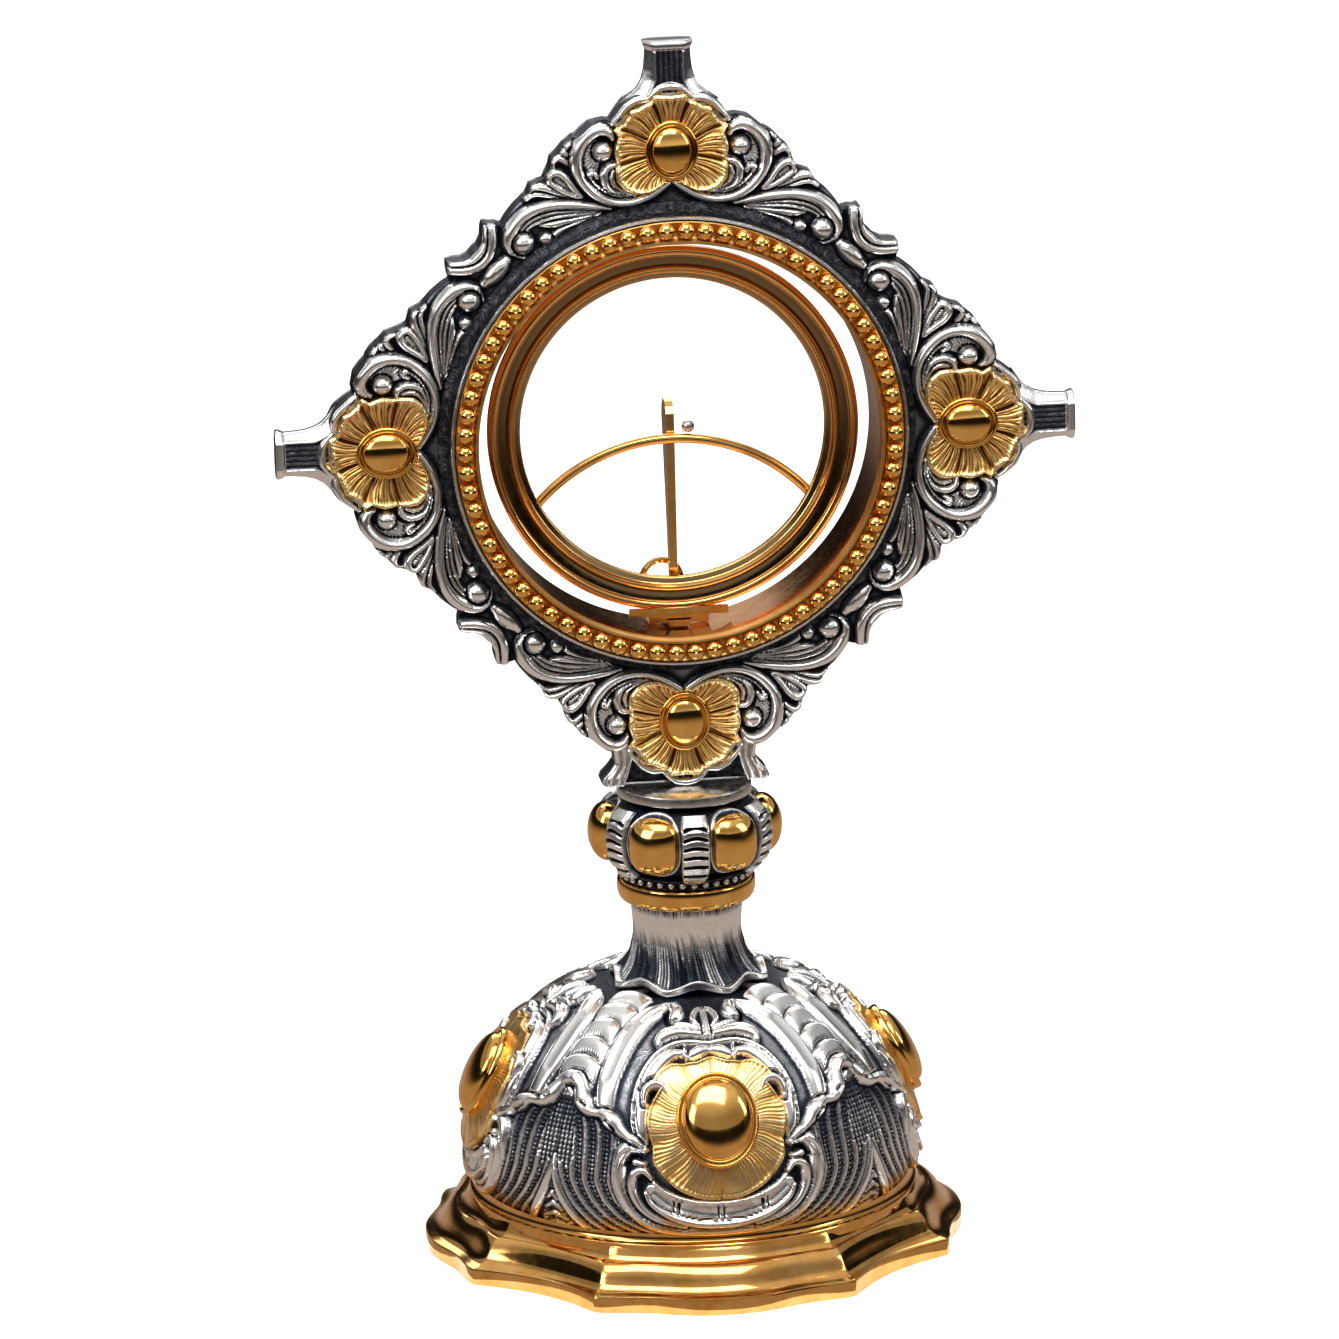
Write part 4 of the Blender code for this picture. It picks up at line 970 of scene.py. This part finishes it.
def make_dome():
    """The embossed dome, with a flat top under the neck."""
    h, x, z, flow = (folded(values) for values in dome_relief())
    s = np.linspace(DOME_START, DOME_END, h.shape[1])[None, :]
    turn = np.linspace(0, 360, len(h), endpoint=False)[:, None]
    outer = on_outline(turn, s, h)
    inner = on_outline(turn, s, np.full_like(h, -1.1))
    dark = recesses(h, 0.0, depth=0.55)
    # painted shadow: the open ground is darkest near the neck, under its lip, and the curtain darkest just
    # under the shell's rim, which overhangs it
    open_ground = np.clip(1 - h / 0.4, 0, 1)
    dark = dark + open_ground * (0.35 * np.clip((33 - z) / 5, 0, 1) - 0.05 * np.clip((z - 33) / 3, 0, 1))
    rim = np.interp(x, (20, 27, 34, 38, 41, 45), (66, 62.5, 59.5, 58.5, 56, 54))
    curtain = (flow > 0) * (z > rim) * (h < 1.2)
    dark = dark + curtain * (0.24 + 0.45 * np.clip(1 - (z - rim) / 10, 0, 1) + 0.25 * np.clip(0.8 - h, 0, 1))
    dark = np.clip(dark, 0, 1)
    top_out, top_in = outer[:, :1].copy(), inner[:, :1].copy()
    for edge, drop in ((top_out, 0.3), (top_in, 1.2)):
        edge[..., :2] *= 3.2 / np.hypot(edge[..., 0], edge[..., 1])[..., None]
        edge[..., 2] = 66.6 - drop
    outer, inner = np.concatenate([top_out, outer], 1), np.concatenate([top_in, inner], 1)
    # painted shade: the flat top hidden under the neck is set fully dark
    dark = np.concatenate([np.ones((len(h), 1)), dark], 1)
    shell("dome_relief", outer, inner, True, SILVER_WASHED, "stand", "silver", ["base_dome"], dark)


# gilt field of a cartouche: (turn in degrees, distance down the dome), one half
FIELD = [(0, 42.8), (3, 43.9), (5, 44.7), (9.5, 44.9), (14, 44.9), (17.8, 47.3), (19.4, 50), (16.2, 51.4),
         (17.6, 53.4), (19.4, 57), (19.6, 60), (18.8, 63), (17.6, 66), (17.2, 70), (14.2, 74), (10, 77),
         (5, 79), (0, 79.4)]


def cartouche_petals():
    """Places of a gilt field (turn, distance down), its heights, and the dark of its engraved rays."""
    scale = math.radians(50.6)            # mm of arc to a degree
    angles = [math.degrees(math.atan2(a * scale, CARTOUCHE - s)) for a, s in FIELD]
    reach = [math.hypot(a * scale, CARTOUCHE - s) for a, s in FIELD]
    turn = np.linspace(0, 360, 400, endpoint=False)[:, None]
    share = np.linspace(0, 1, 40)[None, :]
    edge = np.interp(np.abs((turn + 180) % 360 - 180), angles, reach)
    r = 8.6 + (edge - 8.6) * share
    a, s = r * np.sin(np.radians(turn)) / scale, CARTOUCHE - r * np.cos(np.radians(turn))
    bend = turn + 1.5 * np.sin(share * 5) + 1.1 * np.sin(np.radians(turn * 11))
    ray = 3.4                             # degrees from one ray to the next
    weight = np.random.default_rng(3).uniform(0.15, 1.0, 110)[np.floor(bend / ray).astype(int) % 106]
    patch = 0.55 + 0.45 * np.sin(share * 7 + turn * 0.13) * np.sin(turn * 0.09 + 2)
    lines = 1 - patch * weight * (0.5 - 0.5 * np.cos(bend * TAU / ray)) ** 1.5
    body = np.clip(share * 5, 0, 1) * np.clip((1 - share) * 8, 0, 1)
    lobes = np.abs(np.sin(np.radians(turn) * 5 + 0.4 * np.sin(np.radians(turn) * 3)))
    h = 1.0 + 0.34 * lines * body + 0.7 * lobes ** 0.7 * share ** 2 - 1.4 * np.clip(share - 0.95, 0, 1) / 0.05
    h = h + 0.4 * np.exp(-((share - 0.92) / 0.045) ** 2)
    return a, s, h, np.clip(0.62 * (1 - lines) * body + 0.45 * (1 - lobes) ** 3 * share + 0.1, 0, 1)


def make_cartouches():
    a, s, h, dark = cartouche_petals()
    verts, quads = oval([(10.1, 12.0, -1.5), (10.3, 12.2, 1.7), (10.1, 12.0, 2.3), (9.7, 11.6, 2.5),
                         (9.45, 11.3, 2.3), (9.3, 11.15, 1.9), (9.15, 11.0, 2.0), (8.95, 10.75, 2.5),
                         (8.7, 10.5, 2.55), (8.55, 10.3, 2.4), (8.5, 10.25, 2.45)], 8.5, 10.25, 3.5)
    centre = on_outline(np.array(0.0), np.array(CARTOUCHE), np.array(0.0))
    ahead = on_outline(np.array(0.0), np.array(CARTOUCHE), np.array(1.0)) - centre
    up = np.cross(ahead, (1.0, 0.0, 0.0))
    x, y, z = (centre + verts @ np.array([(1, 0, 0), up, ahead])).T
    for name, side in (("front", 0), ("right", 90), ("back", 180), ("left", -90)):
        outer = on_outline(a + side, s, h)[:, ::-1]
        inner = on_outline(a + side, s, np.full_like(h, 0.15))[:, ::-1]
        shell(f"gilt_field_{name}", outer, inner, True, GOLD_MATTE, "stand", "gilt_matte",
              ["cartouche_" + name], dark[:, ::-1])
        c, d = math.cos(math.radians(side)), math.sin(math.radians(side))
        placed = np.stack([x * c - y * d, x * d + y * c, z], axis=-1)
        body_mesh(f"dome_cabochon_{name}", placed, quads, GOLD, "stand", "gilt", ["cartouche_boss_" + name])


def make_neck():
    """The waisted neck: slanting feathered strokes that deepen towards a ruffled lip."""
    random = np.random.default_rng(7)
    turn = np.linspace(0, 360, 800, endpoint=False)[:, None]
    share = np.linspace(0, 1, 150)[None, :]
    wave = 0.5 + 0.5 * np.cos(np.radians(turn * 8))
    end = 20.9 - 2.7 * wave ** 0.8
    s = -2.3 + share * (end + 2.3)
    swirl = turn - 13 * np.tanh(np.clip(s - 2, 0, None) / 12)
    stroke = (swirl % 360) / 3.0
    number = np.floor(stroke).astype(int) % 120
    start = (random.uniform(1.8, 6.5, 120) - 1.3 * np.cos(np.arange(120) * TAU / 15))[number]
    depth = random.uniform(0.6, 1.0, 120)[number]
    ridge = np.abs(np.sin(stroke * math.pi)) ** 0.7
    broad = (0.5 + 0.5 * np.cos(np.radians(swirl * 8 - 40))) ** 1.5
    hatch = np.abs(np.sin(s * 4.6 + np.floor(stroke) * 2))
    zone = np.clip((s - start) / 6.0, 0, 1)
    low = np.clip((s - 7) / 6, 0, 1)
    lip = np.exp(-(((s - end + 1.1) / (1.2 - 0.3 * wave)) ** 2))
    rest = np.clip((end - s - 1.6) / 1.6, 0, 1)
    h = -0.2 + rest * (0.45 * zone * ridge + 0.7 * broad * low + 0.22 * hatch * low) + (1.9 + 0.7 * wave) * lip
    shade = 1.1 - ridge * (0.3 + 0.5 * broad) - 0.35 * hatch * (number % 3 < 1)
    dark = zone * depth * np.clip(shade + 0.3 * low * (1 - broad), 0, 1)
    # darker towards the neck's top edge, by a random amount round it
    top_darkening = np.clip(-s / 2, 0, 1) * random.uniform(0.1, 0.9, (800, 1))
    # painted shade: round the lip the dark is set high on either side of its crest, and the crest stays bright
    dark = np.clip(np.where(s > end - 2.6, 1.0 - 1.35 * lip, dark + 0.1 + top_darkening), 0, 1)
    outer = on_outline(turn, s, h)
    inner = on_outline(turn, s, np.full_like(h, -1.2))
    shell("fluted_neck", outer, inner, True, SILVER, "stand", "silver", ["neck"], dark)


def make_stem():
    """The gilt ring, the band of beads and the disc that the frame stands on."""
    turned("gilt_ring", [(12, 93.7), (16.5, 93.7), (17.05, 93.5), (17.3, 93.1), (17.4, 91.8), (17.3, 90.3),
                         (17.0, 89.2), (16.4, 88.4), (15.7, 88.1), (15.0, 88.05), (12, 88.05)], GOLD, "stand",
           "gilt", ["stem_ring"], angle=60)
    turned("bead_channel", [(12, 96.25), (16.5, 96.25), (16.6, 95.8), (15.7, 95.6), (15.5, 95.1), (15.7, 94.6),
                            (16.6, 94.4), (16.5, 94.0), (12, 94.0)], BLACK, "stand", "oxidised_silver",
           ["bead_band"])
    beads, count = [], 36
    for i in range(count):
        turn = i * TAU / count
        verts, quads = ball_parts((0.9, 0.9, 0.9), 16, 8)
        beads.append((verts + np.array((16.4 * math.sin(turn), -16.4 * math.cos(turn), 95.15)), quads))
    body_mesh("silver_beads", *joined(beads), SATIN, "stand", "silver")
    turned("collar_disc", [(2.9, 117.75), (16.5, 117.75), (16.8, 117.65), (16.9, 117.45), (16.9, 115.45),
                           (16.75, 115.27), (16.5, 115.25), (2.9, 115.25)],
           SATIN, "stand", "satin_nickel", ["collar_plate"])


# the knop's outline: (height, radius)
KNOP = [(96.6, 15.3), (97.6, 17.2), (99.3, 19.2), (101.3, 20.5), (106.0, 21.3), (110.3, 20.5), (112.0, 19.2),
        (113.3, 17.3), (114.4, 15.2), (114.9, 14.0)]
KNOP_MIDDLE = 106.0
STRAP_TOP = 113.3
SLOT_STEP = 2.45         # from one slot of a strap to the next


def knop_place(turn, z, lift):
    """Place on the knop: turn in degrees from the front, height z, lift off it."""
    r = np.interp(z, [p[0] for p in KNOP], [p[1] for p in KNOP])
    slope = np.clip((z - KNOP_MIDDLE) / 9.5, -1, 1) ** 3
    a = np.radians(turn)
    r = r + lift * np.sqrt(1 - 0.6 * slope ** 2)
    return np.stack(np.broadcast_arrays(r * np.sin(a), -r * np.cos(a), z + lift * 0.77 * slope), axis=-1)


def pillow(across, deep, up):
    """A swollen boss, squarer than an ellipsoid when seen from outside."""
    power = 2.7
    verts, quads = ball_parts((1.0, 1.0, 1.0), 48, 26)
    y, z = verts[:, 1], verts[:, 2]
    size = (np.abs(y) ** power + np.abs(z) ** power + 1e-9) ** (1 / power)
    scale = np.hypot(y, z) / size
    return np.stack([verts[:, 0] * deep, y * scale * across, z * scale * up], axis=-1), quads


def knop_strap(i):
    """A strap of slotted arches between two cabochons."""
    u = np.linspace(-1, 1, 41)[:, None]
    z = np.linspace(STRAP_TOP, 97.3, 150)[None, :]
    down = STRAP_TOP - z
    turn = i * 60 + u * (9.8 + 0.6 * np.abs((z - KNOP_MIDDLE) / 7.6) ** 2)
    arch = down - (1.9 - 0.12 * down) * u ** 2
    slot = np.clip(np.sin((arch - 1.3) / SLOT_STEP * TAU) * 1.6 - 0.2, 0, 1)
    slot = slot * np.clip((0.86 - np.abs(u)) / 0.12, 0, 1) * (down > 2)
    h = 0.1 + 1.9 * np.clip(1 - u ** 4, 0, 1) ** 0.5 - 1.2 * slot
    shell(f"knop_strap_{i + 1}", knop_place(turn, z, h), knop_place(turn, z, np.full_like(h, -0.5)), False,
          SILVER, "stand", "silver", recess=np.clip(1.1 * slot + 0.7 * np.abs(u) ** 8, 0, 1))


def make_knop():
    """The dark melon body, with a bright rim round each of its six cabochons."""
    z = np.linspace(114.9, 96.6, 84)[None, :]
    turn = np.linspace(0, 360, 540, endpoint=False)[:, None]
    around = 30 - np.abs((turn + 30) % 60 - 30)
    far = ((around * 0.37 / 7.25) ** 2.7 + (np.abs(z - KNOP_MIDDLE) / 7.8) ** 2.7) ** (1 / 2.7)
    rim = np.exp(-((far - 1.0) / 0.05) ** 2)
    outer = knop_place(turn, z, -0.4 + 0.75 * rim)
    inner = outer.copy()
    inner[..., :2] *= (12.0 / np.hypot(outer[..., 0], outer[..., 1]))[..., None]
    shell("knop_body", outer, inner, True, SILVER, "stand", "oxidised_silver", ["knop_core"],
          np.clip(0.95 - 0.75 * rim, 0, 1))
    for i in range(6):
        knop_strap(i)
        verts, quads = pillow(6.7, 4.9, 7.3)
        a = math.radians(i * 60 + 30) - math.pi / 2
        x, y = verts[:, 0] + 19.6, verts[:, 1]
        placed = np.stack([x * math.cos(a) - y * math.sin(a), x * math.sin(a) + y * math.cos(a),
                           verts[:, 2] + KNOP_MIDDLE], axis=-1)
        body_mesh(f"knop_cabochon_{i + 1}", placed, quads, GOLD, "stand", "gilt", [f"knop_boss_{i + 1}"])


# the foot's moulding from its edge inwards: (share of the way in, height)
FOOT_SECTION = [(0, 0), (0, 0.5), (0, 3.7), (0.01, 4.05), (0.035, 4.25), (0.08, 4.45), (0.14, 4.8),
                (0.19, 5.4), (0.23, 6.3), (0.27, 7.6), (0.31, 8.8), (0.36, 9.8), (0.41, 10.45), (0.45, 10.75),
                (0.462, 10.75), (0.475, 10.6), (0.51, 10.6), (0.55, 11.0), (0.585, 11.8), (0.62, 12.9),
                (0.66, 13.9), (0.71, 14.7), (0.78, 15.1), (1, 15.15)]
FOOT_UNDER = [(1, 13.4), (0.62, 8.2), (0.4, 6.4), (0.25, 2.6), (0.22, 0)]
FOOT_REACH = 67.9        # radius of the corners beside each cartouche
FOOT_WAIST = 62.0        # radius between two cartouches
FOOT_CORNER = 28.65      # degrees from a cartouche's axis to a corner


def foot_edge(turn):
    """Radius of the foot at an angle in degrees from a cartouche's axis."""
    a = np.abs((turn + 45) % 90 - 45)
    wide = FOOT_REACH - 2.0 * np.sin(math.pi * np.clip(a / FOOT_CORNER, 0, 1) ** 1.4) ** 2
    narrow = FOOT_WAIST + (FOOT_REACH - FOOT_WAIST) * ((45.0 - a) / (45.0 - FOOT_CORNER)) ** 2
    return np.where(a < FOOT_CORNER, wide, narrow)


def make_foot():
    """The moulded foot, hollow underneath, and the cove that the dome stands in."""
    turn = np.linspace(0, 360, 1440, endpoint=False)[:, None]
    edge = foot_edge(turn)
    section = np.array((FOOT_SECTION + FOOT_UNDER)[::-1])
    r = edge + (50.0 - edge) * section[None, :, 0]
    a = np.radians(turn)
    z = np.broadcast_to(section[None, :, 1], r.shape)
    points = np.stack([r * np.sin(a), -r * np.cos(a), z], axis=-1)
    n = len(section)
    number = np.arange(len(turn) * n).reshape(len(turn), n)
    quads = [strip_quads(number[i], number[(i + 1) % len(turn)], True)[:, ::-1] for i in range(len(turn))]
    body_mesh("gilt_foot", points.reshape(-1, 3), np.concatenate(quads), GOLD_FOOT, "stand", "gilt",
              ["foot_plate"], angle=24)
    cove = [(52.0, 12.0), (52.0, 16.9), (54.7, 16.9), (54.75, 16.2), (54.95, 15.5), (55.3, 14.95),
            (55.75, 14.65), (56.15, 14.5), (56.3, 14.3), (56.3, 12.0)]
    turned("gilt_cove", cove, GOLD_FOOT, "stand", "gilt", steps=240, angle=30)


# ---------------------------------------------------------------- carried-over pieces

def paint(node, material):
    """Gives a CAD node that keeps its shape its finished material."""
    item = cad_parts[node]
    for place in item.material_slots:
        place.material = material
    if not item.material_slots:
        item.data.materials.append(material)


def paint_hardware():
    for node in ("tie_rod", "tie_washer", "tie_nut", "back_screw_top", "back_screw_right", "back_screw_bottom",
                 "back_screw_left"):
        paint(node, SATIN)
    for node in ("luna_rail", "luna_foot", "hinge_bracket", "hinge_pin", "clamp_blade", "clamp_loop"):
        paint(node, GOLD_RING)


# ---------------------------------------------------------------- studio

def make_floor():
    """A plain pale floor with a little light of its own, so that it meets the horizon evenly."""
    mesh = bpy.data.meshes.new("floor")
    size = 9.0
    corners = [(-size, -size, 0), (size, -size, 0), (size, size, 0), (-size, size, 0)]
    mesh.from_pydata(corners, [], [(0, 1, 2, 3)])
    floor = bpy.data.objects.new("floor", mesh)
    material = bpy.data.materials.new("pale_floor")
    material.use_nodes = True
    nodes = material.node_tree.nodes
    shader = nodes["Principled BSDF"]
    shader.inputs["Roughness"].default_value = 0.9
    shader.inputs["Specular IOR Level"].default_value = 0.1
    shader.inputs["Emission Color"].default_value = (1, 1, 1, 1)
    shader.inputs["Emission Strength"].default_value = 0.33
    noise = nodes.new("ShaderNodeTexNoise")
    noise.inputs["Scale"].default_value = 2.0
    ramp = gradient(nodes, [(0.0, 0.9), (1.0, 0.94)])
    material.node_tree.links.new(noise.outputs["Fac"], ramp.inputs["Fac"])
    material.node_tree.links.new(ramp.outputs["Color"], shader.inputs["Base Color"])
    mesh.materials.append(material)
    bpy.context.scene.collection.objects.link(floor)


def lamp(name, place, target, size, power):
    light = bpy.data.lights.new(name, "AREA")
    light.shape = "RECTANGLE"
    light.size, light.size_y = size
    light.energy = power
    item = bpy.data.objects.new(name, light)
    item.location = place
    item.rotation_euler = (Vector(target) - Vector(place)).to_track_quat("-Z", "Y").to_euler()
    bpy.context.scene.collection.objects.link(item)


def flag_ring():
    """A ring of dark cards that only reflections see, as a photographer sets round bright metal."""
    levels = ((0.0012, 0.0685), (0.0012, 0.42), (0.045, 0.5), (0.12, 0.6), (0.22, 0.66), (0.34, 0.7))
    around = 96
    verts = [(r * math.cos(i * TAU / around), r * math.sin(i * TAU / around), z)
             for z, r in levels for i in range(around)]
    number = np.arange(len(verts)).reshape(len(levels), around)
    faces = np.concatenate([strip_quads(low, high, True) for low, high in zip(number[:-1], number[1:])])
    mesh = bpy.data.meshes.new("flags")
    mesh.from_pydata(verts, [], faces.tolist())
    material = bpy.data.materials.new("dark_card")
    material.use_nodes = True
    nodes, links = material.node_tree.nodes, material.node_tree.links
    nodes.remove(nodes["Principled BSDF"])
    glow = nodes.new("ShaderNodeEmission")
    place = nodes.new("ShaderNodeTexCoord")
    split = nodes.new("ShaderNodeSeparateXYZ")
    ramp = gradient(nodes, [(0.0, (0.46, 0.385, 0.335)), (0.04, (0.30, 0.25, 0.22)),
                            (0.11, (0.04, 0.034, 0.03)), (0.17, 0.008), (0.34, 0.012)])
    links.new(place.outputs["Object"], split.inputs["Vector"])
    links.new(split.outputs["Z"], ramp.inputs["Fac"])
    links.new(ramp.outputs["Color"], glow.inputs["Color"])
    links.new(glow.outputs["Emission"], nodes["Material Output"].inputs["Surface"])
    mesh.materials.append(material)
    ring = bpy.data.objects.new("flags", mesh)
    ring.visible_camera = ring.visible_diffuse = ring.visible_shadow = False
    ring.visible_transmission = ring.visible_volume_scatter = False
    bpy.context.scene.collection.objects.link(ring)


def make_studio():
    """Softboxes, the reflection cards and a sky that is bright low down and overhead."""
    lamp("overhead_softbox", (-0.15, -0.55, 1.6), (0, 0, 0.15), (1.5, 0.9), 23)
    lamp("left_softbox", (-1.5, -0.9, 1.15), (0, 0, 0.18), (0.7, 0.9), 12)
    lamp("right_softbox", (1.7, -0.5, 1.0), (0, 0, 0.18), (0.4, 1.1), 7)
    lamp("back_softbox", (0.2, 2.4, 1.9), (0, 1.2, 0.0), (2.4, 1.2), 26)
    flag_ring()
    world = bpy.data.worlds.new("studio")
    bpy.context.scene.world = world
    world.use_nodes = True
    nodes, links = world.node_tree.nodes, world.node_tree.links
    place = nodes.new("ShaderNodeTexCoord")
    split = nodes.new("ShaderNodeSeparateXYZ")
    ramp = gradient(nodes, [(0.0, 1.14), (0.2, 1.05), (0.45, 0.45), (0.6, 0.4), (0.8, 0.95), (1.0, 1.1)])
    links.new(place.outputs["Generated"], split.inputs["Vector"])
    links.new(split.outputs["Z"], ramp.inputs["Fac"])
    links.new(ramp.outputs["Color"], nodes["Background"].inputs["Color"])
    nodes["Background"].inputs["Strength"].default_value = 0.8
    bpy.context.scene.view_settings.view_transform = "Standard"


def make_camera():
    """A long lens from a little to the left and above."""
    azimuth, elevation, roll = (math.radians(a) for a in (-6.971, 15.009, -1.345))
    back = Vector((math.sin(azimuth) * math.cos(elevation), -math.cos(azimuth) * math.cos(elevation),
                   math.sin(elevation)))
    right = Vector((0, 0, 1)).cross(back).normalized()
    up = back.cross(right)
    # the roll turns both of them about the line of sight
    across = math.cos(roll) * right + math.sin(roll) * up
    rise = -math.sin(roll) * right + math.cos(roll) * up
    lens = bpy.data.cameras.new("camera")
    lens.lens = 254.9
    lens.sensor_width = 36
    lens.clip_end = 100
    camera = bpy.data.objects.new("camera", lens)
    turn = Matrix((across, rise, back)).transposed().to_4x4()
    camera.matrix_world = Matrix.Translation((-0.2793, -2.2604, 0.7572)) @ turn
    bpy.context.scene.collection.objects.link(camera)
    bpy.context.scene.camera = camera


make_frame()
make_arms()
make_legs()
make_rosettes()
make_bezel()
make_luna()
make_clamp()
make_dome()
make_cartouches()
make_neck()
make_stem()
make_knop()
make_foot()
paint_hardware()
make_floor()
make_studio()
make_camera()
